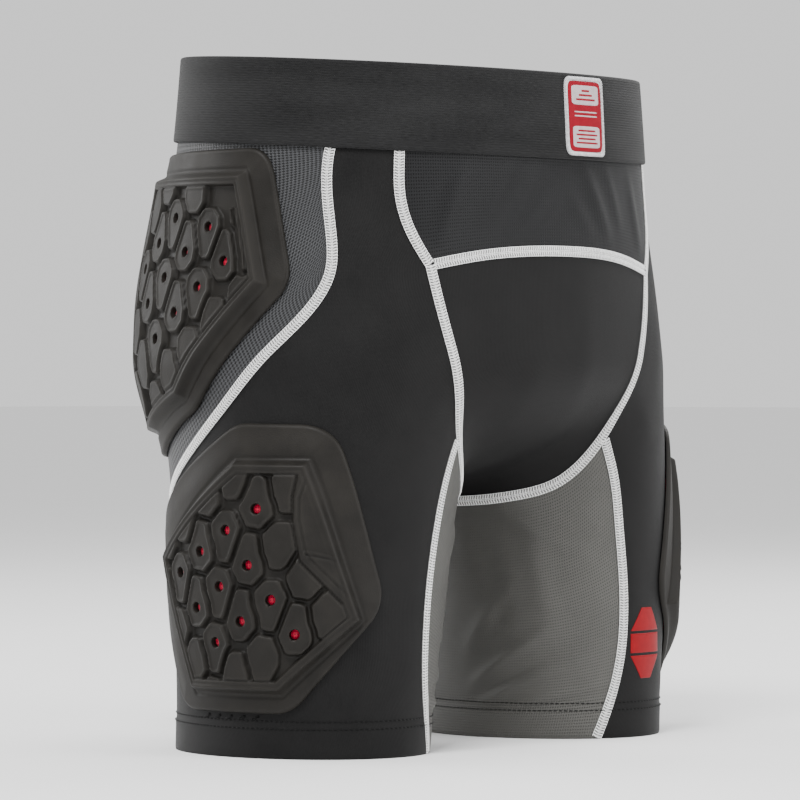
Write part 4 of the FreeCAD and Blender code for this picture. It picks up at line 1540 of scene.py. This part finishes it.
@dataclass
class Mould:
    """The shape of a moulded pad in its own plane: a towards the front and b up, in mm from its centre."""

    rim: list[Point]
    rim_round: float
    island: list[Point]
    corners: list[Point]
    pods: list[Pod]
    smooth_area: list[Point] = field(default_factory=list)
    ridges: list[list[Point]] = field(default_factory=list)
    bars: list[list[Point]] = field(default_factory=list)
    vent_radius: float = 2.9
    base: float = 0.85
    rim_rise: float = 2.5
    crown: float = 0.9
    bevel: float = 4.3
    floor_depth: float = 3.0
    growth: float = 4.3
    bar_growth: float = 0.7
    groove: float = 1.1
    pod_rise: float = 3.4
    rows: int = 216
    columns: int = 216

    def vents(self) -> Array:
        """Centres of the vents."""
        return np.array([(pod.a, pod.b) for pod in self.pods if pod.vented])

    def outline(self, count: int = 960) -> Array:
        """The rim's polygon with its corners rounded by parabolas, as evenly spaced points.

        Args:
            count: number of points.

        Returns:
            (count, 2) points of the plane.
        """
        v = np.asarray(self.rim, float)
        t = np.linspace(0, 1, 17)[:, None]
        line = []
        for i in range(len(v)):
            before, here, after = v[i - 1], v[i], v[(i + 1) % len(v)]
            u, w = unit(here - before), unit(after - here)
            half = math.acos(float(np.clip(u @ w, -1, 1))) / 2
            reach = min(self.rim_round * math.tan(half),
                        0.46 * min(np.linalg.norm(here - before), np.linalg.norm(after - here)))
            line.append((here - u * reach) * (1 - t) ** 2 + here * (2 * t * (1 - t))
                        + (here + w * reach) * t * t)
        loop = np.concatenate(line)
        return spaced(np.concatenate([loop, loop[:1]]), count + 1)[:-1]

    def plane_grid(self) -> Array:
        """(rows, columns, 2) points inside the rim by the Coons rule, pulled onto each vent's circle near it.

        The rim's line is parted at the four corner points, and those near a circle move along its radius.

        Returns:
            The points.
        """
        loop = self.outline()
        starts = [int(np.argmin(np.linalg.norm(loop - np.array(c), axis=1))) for c in self.corners]
        sides = []
        for i, n in enumerate((self.columns, self.rows, self.columns, self.rows)):
            first, last = starts[i], starts[(i + 1) % 4]
            last += len(loop) if last <= first else 0
            sides.append(spaced(loop[np.arange(first, last + 1) % len(loop)], n))
        p = coons(west=sides[3][::-1], east=sides[1], south=sides[0], north=sides[2][::-1])
        for centre in self.vents():
            out = p - centre
            r = np.linalg.norm(out, axis=-1, keepdims=True)
            near = np.abs(r - self.vent_radius) < 0.55
            p = np.where(near, centre + out / np.maximum(r, 1e-9) * self.vent_radius, p)
        return p

    def height(self, p: Array) -> Array:
        """Height of the top above the cloth, in mm.

        From outside in: a rounded rim, a flange that crowns gently, a groove at the island's foot, a bevel
        up to a shoulder with thin ridges on it, and a sunk floor. Pods, bars and the smooth area stand on
        the floor. A pod is its core grown outwards by growth, but only to groove short of the line midway
        to its nearest neighbour, and a bar is a slender core that grows less. A pod rises over a steep wall
        to a raised edge round a dished middle, and a vented one has a thin collar round its vent.

        Args:
            p: points of the plane.

        Returns:
            The height of each point.
        """
        loop = self.outline(200)
        edge = line_distance(p, np.concatenate([loop, loop[:1]]))
        rim = -polygon_distance(p, self.rim)
        island = -polygon_distance(p, self.island)
        h = self.base + self.rim_rise * np.sqrt(np.clip(1 - (1 - np.clip(edge / 2.4, 0, 1)) ** 2, 0, 1))
        h = h + self.crown * ramp(rim, 2.0, 15.0) - 0.55 * bump(island, -1.6, 1.1)
        h = h + self.bevel * ramp(island, -0.6, 3.2)
        h = h + 0.6 * bump(island, 3.6, 0.85) + 0.35 * bump(island, 6.2, 0.8)
        floor = ramp(island, 6.6, 8.0)
        room = island - 7.3
        if self.smooth_area:
            area = -polygon_distance(p, self.smooth_area)
            floor = floor * (1 - ramp(area, -0.9, 0.6))
            room = np.minimum(room, -area - 0.5)
        h = h - self.floor_depth * floor
        gaps = np.stack([polygon_distance(p, pod.outline()) for pod in self.pods]
                        + [polygon_distance(p, bar) + self.growth - self.bar_growth for bar in self.bars])
        two = np.partition(gaps, 1, axis=0)
        inside = np.minimum(np.minimum(self.growth - two[0], (two[1] - two[0]) / 2 - self.groove), room)
        vented = np.array([pod.vented for pod in self.pods] + [False] * len(self.bars))
        vented = vented[np.argmin(gaps, axis=0)]
        hole = np.min([np.linalg.norm(p - c, axis=-1) for c in self.vents()], axis=0) - self.vent_radius
        rise = self.pod_rise * ramp(inside, -0.45, 0.95) - np.where(vented, 0.7, 0.3) * ramp(inside, 1.2, 2.6)
        rise = rise + 0.25 * bump(hole, 0.5, 0.5) * ramp(inside, -0.4, 0.9)
        h = h + rise
        for ridge in self.ridges:
            gap = line_distance(p, ridge)
            h = h + ramp(island, 3.0, 7.0) * (0.55 * bump(gap, 1.1, 0.8) - 0.6 * bump(gap, 0.0, 0.55))
        return h

    def kept(self, p: Array) -> Array:
        """Which cells there are: all but those with a point strictly inside a vent.

        Args:
            p: (rows, columns, 2) points of the plane.

        Returns:
            True for each cell that there is.
        """
        inside = np.zeros(p.shape[:-1], bool)
        for centre in self.vents():
            inside |= np.linalg.norm(p - centre, axis=-1) < self.vent_radius - 0.02
        return ~(inside[:-1, :-1] | inside[1:, :-1] | inside[:-1, 1:] | inside[1:, 1:])


@dataclass
class PadSet:
    """The moulded pads with the red mesh behind them."""

    skin: Skin
    wardrobe: Wardrobe
    thigh_centre: Point = (-14.0, 101.0)
    thigh_step: float = 1.36
    hip_centre: Point = (18.0, 246.0)
    hip_step: float = 1.62
    tail_height: float = 252.0
    cap_height: float = 5.0
    cap_hump: float = 1.2
    tack_first: Point = (-34.0, -79.6)
    tack_step: float = 10.6
    tack_slant: Point = (-2.4, -0.8)
    tack_length: float = 5.6

    def on_thigh(self, p: Array) -> Array:
        """Skin points of the thigh pad's plane: a is taken round the leg, b upwards."""
        (angle, height), step = self.thigh_centre, self.thigh_step
        return self.skin.around(angle - p[..., 0] / step, height + p[..., 1])

    def on_hip(self, p: Array) -> Array:
        """Skin points of the hip pad's plane."""
        (angle, height), step = self.hip_centre, self.hip_step
        return self.skin.around(angle - p[..., 0] / step, height + p[..., 1])

    def on_tail(self, p: Array) -> Array:
        """Skin points of the tailbone pad's plane."""
        return self.skin.back(p[..., 0], self.tail_height + p[..., 1])

    @staticmethod
    def pods(first: Point, along: Point, across: Point, vents: set[tuple[int, int]],
             plain: set[tuple[int, int]], even: PointWay) -> list[Pod]:
        """Pods on a slanting lattice, whose points look up and down in turn.

        Args:
            first: place of the pod (0, 0).
            along: step from one pod of a row to the next.
            across: step from row to row.
            vents: (place in the row, row) of the vented pods.
            plain: the same of the others.
            even: which way the pod (0, 0) points.

        Returns:
            The pods.
        """
        other = PointWay.DOWN if even is PointWay.UP else PointWay.UP
        return [Pod(first[0] + along[0] * i + across[0] * j, first[1] + along[1] * i + across[1] * j,
                    even if (i + j) % 2 == 0 else other, (i, j) in vents) for i, j in sorted(vents | plain)]

    def thigh_mould(self) -> Mould:
        """The thigh pad.

        Returns:
            The pad's shape.
        """
        vents = {(0, 0), (1, 0), (2, 0), (3, 0), (1, 1), (2, 1), (3, 1), (1, 2), (2, 2), (3, 2), (1, 3)}
        plain = {(0, 1), (0, 2), (-1, 0), (-1, 1), (0, -1), (1, -1), (2, -1), (3, -1), (4, 0), (4, 1), (4, 2),
                 (3, 3), (2, 3), (4, 3), (0, 3), (4, -1), (5, 1), (5, 2)}
        return Mould(
            rim=[(-58, -77), (34, -77), (84, -19), (50, 76), (-2, 77), (-90, 23), (-90, -18)], rim_round=24.0,
            island=[(-38, -66), (28, -66), (70, -27), (38, 57), (-2, 57), (-66, 6)],
            corners=[(-58, -77), (84, -19), (50, 76), (-90, 23)],
            pods=self.pods((12.0, 31.5), (-17.6, -11.4), (13.5, -18.0), vents, plain, PointWay.UP),
            smooth_area=[(36, 64), (31, 38), (31.5, 24), (36, 5), (63, -22), (80, -26), (46, 64)],
            ridges=[[(38.5, 52), (34, 37), (34.5, 26), (39, 8), (63, -16)], [(39, 8), (58, 4)]])

    def hip_mould(self) -> Mould:
        """The hip pad.

        Returns:
            The pad's shape.
        """
        vents = {(0, 0), (1, 0), (2, 0), (3, 0), (0, 1), (1, 1), (2, 1), (3, 1), (1, -1), (2, -1), (3, -1)}
        plain = {(0, -1), (0, -2), (1, -2), (2, -2), (3, -2), (4, -1), (4, 0), (4, 1), (1, 2), (2, 2), (3, 2),
                 (4, 2), (0, 2), (3, 3), (4, 3), (5, 0), (5, 1)}
        return Mould(
            rim=[(-76, -88), (-44, -86), (15, -61), (87, 6), (66, 79), (-84, 79)], rim_round=20.0,
            island=[(-62, -74), (-42, -72), (8, -54), (70, 5), (51, 66), (-70, 66)],
            corners=[(-76, -88), (87, 6), (66, 79), (-84, 79)],
            pods=self.pods((28.0, 36.0), (-18.6, -13.5), (15.0, -19.0), vents, plain, PointWay.DOWN),
            bars=[[(57.6, 11), (58.6, 12), (48.8, 46), (47.8, 45)],
                  [(52.7, 14), (53.7, 15), (44.6, 46), (43.6, 45)]])

    def tail_mould(self) -> Mould:
        """The tailbone pad.

        Returns:
            The pad's shape.
        """
        spots = [(-12.5, 30), (12.5, 30), (0, 11), (-12.5, -8), (12.5, -8), (0, -27)]
        pods = [Pod(a, b, PointWay.UP if k % 2 else PointWay.DOWN, True, 0.8)
                for k, (a, b) in enumerate(spots)]
        pods += [Pod(a, b, PointWay.UP, False, 0.75) for a, b in ((0, 46), (-22, 10), (22, 10), (0, -46))]
        return Mould(
            rim=[(-20, -66), (20, -66), (38, -10), (36, 58), (-36, 58), (-38, -10)], rim_round=18.0,
            island=[(-14, -54), (14, -54), (29, -8), (27, 47), (-27, 47), (-29, -8)],
            corners=[(-20, -66), (20, -66), (36, 58), (-36, 58)], pods=pods, rows=150, columns=96)

    def foam(self, mould: Mould, place: Callable[[Array], Array]) -> Shell:
        """The closed moulded pad with its vents through it.

        Args:
            mould: the pad's shape.
            place: gives the skin points of its plane.

        Returns:
            The closed shell.
        """
        plane = mould.plane_grid()
        ground = place(plane)
        top = self.skin.raised(ground, mould.height(plane))
        under = self.skin.raised(ground, np.full(plane.shape[:-1], mould.base - 0.05))
        return facing_out(closed_sheet(top, under, plane / 1000.0, mould.kept(plane)))

    def caps(self, mould: Mould, place: Callable[[Array], Array]) -> list[Shell]:
        """Where the red mesh bulges up inside each vent: discs on rings, humped by 1 - r^2.

        Args:
            mould: the pad's shape.
            place: gives the skin points of its plane.

        Returns:
            A closed shell for each vent.
        """
        r, turn = np.linspace(1.0, 0.08, 6), np.linspace(0, 2 * np.pi, 24, endpoint=False)
        ring = np.stack([np.cos(turn), np.sin(turn)], -1) * (mould.vent_radius - 0.12)
        made = []
        for centre in mould.vents():
            plane = centre + r[:, None, None] * ring[None]
            ground = place(plane)
            lift = self.cap_height + self.cap_hump * (1 - r[:, None] ** 2)
            top = self.skin.raised(ground, np.broadcast_to(lift, plane.shape[:2]))
            foot = self.skin.raised(ground[:1], np.full((1, 24), 0.45))
            rings = np.concatenate([foot, top]).reshape(-1, 3)
            ends = np.concatenate([rings, top[-1].mean(0)[None], foot[0].mean(0)[None]])
            k, n = np.arange(24), len(rings)
            fans = np.concatenate([np.stack([n - 24 + k, n - 24 + (k + 1) % 24, np.full(24, n)], -1),
                                   np.stack([(k + 1) % 24, k, np.full(24, n + 1)], -1)])
            cut = np.concatenate([plane[0], plane.reshape(-1, 2), [centre], [centre]]) / 1000.0
            made.append(facing_out(Shell(ends, lattice_quads(7, 24, loop_columns=True), fans, cut=cut)))
        return made

    def liner(self, mould: Mould, place: Callable[[Array], Array]) -> Shell:
        """The red mesh behind the vents: a thin sheet inside the rim.

        Args:
            mould: the pad's shape.
            place: gives the skin points of its plane.

        Returns:
            The closed sheet.
        """
        plane = mould.plane_grid()[::3, ::3]
        centre = plane.mean((0, 1))
        plane = centre + (plane - centre) * 0.88
        ground = place(plane)
        sheet = closed_sheet(self.skin.raised(ground, np.full(plane.shape[:-1], 0.55)),
                             self.skin.raised(ground, np.full(plane.shape[:-1], 0.2)), plane / 1000.0)
        return joined([facing_out(sheet)] + self.caps(mould, place))

    def tacks(self) -> Shell:
        """Five slanted bar tacks under the thigh pad's lower edge, each of three threads side by side.

        Returns:
            The threads.
        """
        spots = np.array([(self.tack_first[0] + self.tack_step * k, self.tack_first[1]) for k in range(5)])
        ground = self.on_thigh(spots)
        ahead = unit(self.on_thigh(spots + np.array(self.tack_slant)) - ground)
        up = self.skin.normals(ground)
        side = unit(np.cross(up, ahead))
        middle = self.skin.raised(ground, np.full(len(spots), 0.16))
        return joined([threads(middle + side * k * 0.42, ahead, up, self.tack_length, 0.28, 0.12, rings=6)
                       for k in (-1, 0, 1)])

    def build(self) -> None:
        """Makes every pad."""
        w = self.wardrobe
        for name, mould, place in (("thigh_pad", self.thigh_mould(), self.on_thigh),
                                   ("hip_pad", self.hip_mould(), self.on_hip)):
            foam, liner = self.foam(mould, place), self.liner(mould, place)
            for side in Side:
                node = side.prefix + name
                make_piece(node + "_foam", foam.placed(side), w.foam, "moulded_foam", [node])
                make_piece(node + "_mesh", liner.placed(side), w.liner, "red_mesh", [node + "_liner"])
        mould = self.tail_mould()
        foam, liner = self.foam(mould, self.on_tail), self.liner(mould, self.on_tail)
        make_piece("tailbone_pad_foam", foam, w.foam, "moulded_foam", ["tailbone_pad"])
        make_piece("tailbone_pad_mesh", liner, w.liner, "red_mesh", ["tailbone_pad_liner"])
        tacks = self.tacks()
        for side in Side:
            make_piece(side.prefix + "thigh_pad_tacks", tacks.placed(side), w.black_thread, "black_thread")


# ---- waistband, label and print
@dataclass
class Waistband:
    """The wide elastic ring."""

    skin: Skin
    wardrobe: Wardrobe
    inside: float = 0.2
    outside: float = 2.4
    rib: float = 1.35
    rib_depth: float = 0.09
    around_count: int = 400
    outside_rows: int = 142
    inside_rows: int = 14
    flat: tuple[float, float] = (0.74, 0.047)      # unstretched length and width, in metres

    def shell(self) -> Shell:
        """A closed ring: its section runs up the outside, over the top, and down the inside.

        The outside is lifted by the elastic's thickness plus the rib depth times |sin(pi height / rib)|,
        and rolls in over the last 1.6 mm at both edges. It waves slightly round the body, as 0.25 sin(3 a +
        0.6) + 0.18 sin(7 a), most at half its height.

        Returns:
            The closed band.
        """
        height = self.skin.band_height
        up = np.linspace(0, height, self.outside_rows)
        edge = np.clip(np.minimum(up, height - up) / 1.6, 0, 1)
        roll = 1.3 * (1 - np.sqrt(np.clip(1 - (1 - edge) ** 2, 0, 1)))
        out = self.outside + self.rib_depth * np.abs(np.sin(np.pi * up / self.rib)) - roll
        down = np.linspace(height, 0, self.inside_rows)
        rise = np.concatenate([up, down])
        lift = np.concatenate([out, np.full(self.inside_rows, self.inside)])
        turn = np.linspace(0, 2 * np.pi, self.around_count, endpoint=False)
        rays = np.stack([np.sin(turn), -np.cos(turn), 0 * turn], -1)
        first = self.skin.cast(np.broadcast_to([0.0, 0.0, self.skin.band_low], rays.shape), rays)
        marks = np.linspace(0, height, 9)
        rings = Profile(np.concatenate([marks[:, None], np.stack(
            [self.skin.at_band(first, m).ravel() for m in marks])], 1)).at(rise).reshape(len(rise), -1, 3)
        n = self.skin.slope(rings)
        n[..., 2] = 0.0
        n = unit(n)
        wave = 0.25 * np.sin(3 * turn + 0.6) + 0.18 * np.sin(7 * turn)
        points = rings + n * (lift[:, None] + wave[None] * np.sin(np.pi * rise / height)[:, None])[..., None]
        points[..., 2] += self.skin.band_tilt * (points[..., 1] - rings[..., 1])
        ring_way = turn * 0.128
        cut = np.stack([np.broadcast_to(ring_way, points.shape[:2]),
                        np.broadcast_to(rise[:, None] / 1000.0, points.shape[:2])], -1)
        quads = lattice_quads(len(rise), self.around_count, True, True)
        return Shell(points.reshape(-1, 3), quads, cut=cut.reshape(-1, 2))

    def build(self) -> None:
        shell = self.shell()
        piece = make_piece("waistband_elastic", shell, self.wardrobe.elastic, "waistband_elastic",
                           ["waistband"])


@dataclass
class Badge:
    """The label on the waistband's front: a backing with a sewn border, a red field and two grey blocks."""

    skin: Skin
    wardrobe: Wardrobe
    width: float = 34.0
    height: float = 43.0
    ground: float = 2.55
    aside: float = 16.0

    def place(self, a: Array, b: Array, lift: Array | float) -> Array:
        """Points on the band's front, lifted.

        Args:
            a: places across from the label's middle, in mm.
            b: places above it.
            lift: how far above the skin.

        Returns:
            The points.
        """
        rise = self.skin.band_height / 2 + b
        p = self.skin.at_band(self.skin.front(self.aside + a, self.skin.band_low + rise), rise)
        n = self.skin.slope(p)
        n[..., 2] = 0.0
        return p + unit(n) * np.broadcast_to(np.asarray(lift, float), p.shape[:-1])[..., None]

    def tile(self, width: float, height: float, corner: float, low: float, high: float, b: float = 0.0,
             count: int = 41) -> Shell:
        """A rounded rectangle of material.

        The square grid from -1 to 1 is drawn in at its corners by 0.29 corner (s t)^8, and the top sinks by
        0.12 exp(-(distance from the edge / 0.3)^2).

        Args:
            width: its width, in mm.
            height: its height.
            corner: radius of its corners.
            low: lift of its back.
            high: lift of its face.
            b: height of its middle above the label's.
            count: points along a side.

        Returns:
            The closed tile.
        """
        s, t = np.meshgrid(np.linspace(-1, 1, count), np.linspace(-1, 1, count))
        pull = 0.29 * corner * np.abs(s * t) ** 8
        a, c = s * width / 2 - np.sign(s) * pull, t * height / 2 - np.sign(t) * pull
        inset = np.minimum((1 - np.abs(s)) * width / 2, (1 - np.abs(t)) * height / 2)
        top = high - 0.12 * np.exp(-(inset / 0.3) ** 2)
        cut = np.stack([a, c], -1) / 1000.0
        return closed_sheet(self.place(a, b + c, top), self.place(a, b + c, low), cut)

    def border(self) -> Shell:
        """Merrowed border threads round the backing, standing across its edge.

        Returns:
            The threads.
        """
        w, h, r = self.width / 2 - 0.9, self.height / 2 - 0.9, 2.4
        turn = np.linspace(0, np.pi / 2, 9)
        corner = np.stack([np.cos(turn), np.sin(turn)], -1) * r
        signs = [np.array(pair) for pair in ((1, 1), (-1, 1), (-1, -1), (1, -1))]
        inner = np.array([w - r, h - r])
        quarter = [corner[::step] * sign + inner * sign for sign, step in zip(signs, (1, -1, 1, -1))]
        loop = np.concatenate(quarter + [quarter[0][:1]])
        marks = spaced(loop, 181)[:-1]
        way = unit(np.roll(marks, -1, axis=0) - np.roll(marks, 1, axis=0))
        across = np.stack([way[:, 1], -way[:, 0]], -1)
        centre = self.place(marks[:, 0], marks[:, 1], self.ground + 0.95)
        out = marks + across * 0.5
        direction = unit(self.place(out[:, 0], out[:, 1], self.ground + 0.95) - centre)
        up = unit(np.cross(direction, np.roll(centre, -1, axis=0) - centre))
        n = self.skin.slope(centre)
        up = np.where(((up * n).sum(-1) < 0)[:, None], -up, up)
        return threads(centre, direction, up, 2.0, 0.36, 0.15)

    def build(self) -> None:
        """Makes the label."""
        w, g = self.wardrobe, self.ground
        make_piece("label_backing_tape", self.tile(self.width, self.height, 5.0, g, g + 0.75), w.label_border,
                   "label_border", ["label_backing"])
        make_piece("label_border_threads", self.border(), w.label_border, "label_border")
        make_piece("label_field_red", self.tile(29.6, 38.6, 4.0, g + 0.7, g + 1.05), w.label_red, "label_red",
                   ["label_field"])
        for where, height, middle in (("upper", 10.6, 11.6), ("lower", 11.6, -11.2)):
            make_piece(f"label_block_{where}_grey", self.tile(24.0, height, 2.2, g + 1.0, g + 1.25, middle),
                       w.label_grey, "label_block", [f"label_block_{where}"])
        marks = [self.tile(17.0 - 5.0 * k, 1.1, 0.2, g + 1.2, g + 1.4, 9.2 + 2.4 * k, 9) for k in range(3)]
        marks += [self.tile(19.0 - 3.5 * (k % 2), 1.0, 0.2, g + 1.2, g + 1.4, -14.4 + 2.2 * k, 9)
                  for k in range(4)]
        make_piece("label_marks_red", joined(marks), w.label_red, "label_red")
        lines = [self.tile(20.0, 0.7, 0.2, g + 1.0, g + 1.2, b, 9) for b in (0.2, 2.4)]
        make_piece("label_lines_grey", joined(lines), w.label_grey, "label_block")


@dataclass
class ThighPrint:
    """The printed mark on the left thigh: a tall hexagon of three tiles."""

    skin: Skin
    wardrobe: Wardrobe
    centre: Point = (-84.3, 53.0)
    step: float = 1.32
    tiles: dict[str, list[Point]] = field(default_factory=lambda: {
        "thigh_print_upper": [(-14, 7), (14, 7), (5, 20), (-5, 20)],
        "thigh_print_middle": [(-14, -5.5), (14, -5.5), (14, 5.5), (-14, 5.5)],
        "thigh_print_lower": [(-5, -20), (5, -20), (14, -7), (-14, -7)]})

    def build(self) -> None:
        """Makes the tiles: each is the blend of its four corners on a grid, thinner at its border."""
        t, s = np.meshgrid(np.linspace(0, 1, 25), np.linspace(0, 1, 37), indexing="ij")
        edge = np.minimum(np.minimum(s, 1 - s) * 28, np.minimum(t, 1 - t) * 13)
        for name, corners in self.tiles.items():
            c = np.array(corners, float)
            p = ((1 - s) * (1 - t))[..., None] * c[0] + (s * (1 - t))[..., None] * c[1] \
                + (s * t)[..., None] * c[2] + ((1 - s) * t)[..., None] * c[3]
            ground = self.skin.around(self.centre[0] + p[..., 0] / self.step, self.centre[1] + p[..., 1])
            shell = closed_sheet(self.skin.raised(ground, 0.16 + 0.12 * ramp(edge, 0.0, 0.7)),
                                 self.skin.raised(ground, np.full(s.shape, -0.1)), p / 1000.0)
            make_piece(name + "_ink", shell, self.wardrobe.red_print, "print_red", [name])


# ---- studio
@dataclass(frozen=True)
class Lamp:
    """A square soft light, placed as the camera sees it: across to the right, back behind, and up."""

    name: str
    across: float
    back: float
    up: float
    size: float
    power: float


@dataclass
class Studio:
    """Floor, light and camera."""

    azimuth: float = -47.0
    camera_height: float = 0.195
    distance: float = 2.5
    target: tuple[float, float, float] = (0.0, 0.0, 0.190)
    seen_height: float = 0.45
    lamps: tuple[Lamp, ...] = (
        Lamp("key", -0.5, -1.5, 2.2, 0.9, 80.0), Lamp("fill", 1.9, -1.0, 0.9, 1.2, 30.0),
        Lamp("rim", 1.3, 1.5, 1.8, 1.2, 40.0), Lamp("low", -1.8, 0.7, 0.9, 1.2, 26.0))

    def floor(self) -> None:
        """A plain pale floor, clear from below so that the underside can be looked at."""
        mesh = bpy.data.meshes.new("floor")
        size = 40.0
        mesh.from_pydata([(-size, -size, 0.0), (size, -size, 0.0), (size, size, 0.0), (-size, size, 0.0)], [],
                         [(0, 1, 2, 3)])
        piece = bpy.data.objects.new("floor", mesh)
        bpy.context.scene.collection.objects.link(piece)
        w = Weave("pale floor")
        shade = w.noise(w.coordinates.outputs["Object"], 3.0, 2.0)
        w.set(Base_Color=w.mixed(shade, (0.86, 0.86, 0.86), (0.88, 0.88, 0.88)), Roughness=0.7)
        clear = w.node("BsdfTransparent")
        both = w.node("MixShader", in_0=w.node("NewGeometry").outputs["Backfacing"])
        w.tree.links.new(w.shader.outputs[0], both.inputs[1])
        w.tree.links.new(clear.outputs[0], both.inputs[2])
        w.tree.links.new(both.outputs[0], w.output.inputs[0])
        mesh.materials.append(w.material)

    def stand(self, name: str, data: bpy.types.ID, spot: Array, height: float) -> bpy.types.Object:
        """Puts a lamp or camera over a spot of the floor, looking at the target.

        Args:
            name: the object's name.
            data: its light or camera.
            spot: its X and Y, in metres.
            height: its Z.

        Returns:
            The object.
        """
        made = bpy.data.objects.new(name, data)
        bpy.context.scene.collection.objects.link(made)
        made.location = (float(spot[0]), float(spot[1]), height)
        x, y, z = np.array(self.target) - np.array(made.location)
        made.rotation_euler = (math.atan2(math.hypot(x, y), -z), 0.0, math.atan2(-x, y))
        return made

    def build(self) -> None:
        """Sets the stage."""
        self.floor()
        world = bpy.data.worlds.new("studio")
        bpy.context.scene.world = world
        world.use_nodes = True
        ground = world.node_tree.nodes["Background"]
        ground.inputs["Color"].default_value = (1.0, 1.0, 1.0, 1.0)
        ground.inputs["Strength"].default_value = 1.0
        turn = math.radians(self.azimuth)
        right, ahead = np.array([math.cos(turn), math.sin(turn)]), np.array([-math.sin(turn), math.cos(turn)])
        for lamp in self.lamps:
            data = bpy.data.lights.new(lamp.name, "AREA")
            data.shape, data.size, data.energy = "SQUARE", lamp.size, lamp.power
            self.stand(lamp.name, data, right * lamp.across + ahead * lamp.back, lamp.up)
        camera = self.stand("camera", bpy.data.cameras.new("camera"), -ahead * self.distance,
                            self.camera_height)
        camera.data.sensor_width = 36.0
        camera.data.lens = 36.0 * self.distance / self.seen_height
        bpy.context.scene.camera = camera


def folds() -> list[Fold]:
    """The soft folds: slanting ones by the inner hem, short ones in the yoke, long ones on the legs."""
    leg, front, back = Chart.LEG, Chart.FRONT, Chart.BACK
    return [
        Fold(leg, (-172, 18), (-116, 46), 2.6, 2.1), Fold(leg, (-176, 28), (-130, 64), 3.4, 2.0),
        Fold(leg, (-156, 17), (-106, 31), 2.2, 1.6), Fold(leg, (-170, 23), (-122, 53), 2.4, -1.0),
        Fold(leg, (-176, 48), (-150, 88), 5.0, 1.5), Fold(leg, (-160, 134), (-112, 100), 5.0, 1.4),
        Fold(leg, (-140, 130), (-132, 52), 7.0, 1.5), Fold(leg, (-164, 124), (-154, 60), 6.0, -1.2),
        Fold(leg, (160, 20), (110, 42), 4.5, 1.1),
        Fold(leg, (170, 90), (130, 60), 7.0, 0.7), Fold(leg, (-96, 120), (-92, 30), 9.0, 0.5),
        Fold(leg, (-60, 20), (-84, 60), 7.0, 0.5), Fold(leg, (60, 24), (96, 70), 9.0, 0.6),
        Fold(front, (14, 322), (44, 276), 5.0, 1.3), Fold(front, (36, 322), (58, 282), 4.5, 0.8),
        Fold(front, (66, 318), (84, 270), 5.0, 1.0), Fold(front, (0, 306), (26, 278), 5.0, 0.7),
        Fold(front, (112, 300), (104, 190), 9.0, 0.7), Fold(front, (74, 196), (104, 168), 8.0, 0.6),
        Fold(front, (18, 262), (22, 170), 10.0, 0.45), Fold(back, (66, 300), (74, 210), 12.0, 0.8),
        Fold(back, (60, 180), (104, 150), 9.0, 0.9), Fold(back, (56, 160), (92, 124), 8.0, 0.8),
    ]


def main() -> None:
    """Builds the shorts piece by piece."""
    logging.basicConfig(level=logging.INFO, format="%(name)s %(message)s")
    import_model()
    skin = Skin(folds=folds())
    pattern = Pattern(skin)
    wardrobe = Wardrobe()
    Waistband(skin, wardrobe).build()
    ClothPanels(pattern, wardrobe).build()
    Sewing(pattern, wardrobe).build()
    PadSet(skin, wardrobe).build()
    Badge(skin, wardrobe).build()
    ThighPrint(skin, wardrobe).build()
    Studio().build()


if __name__ == "__main__":
    main()
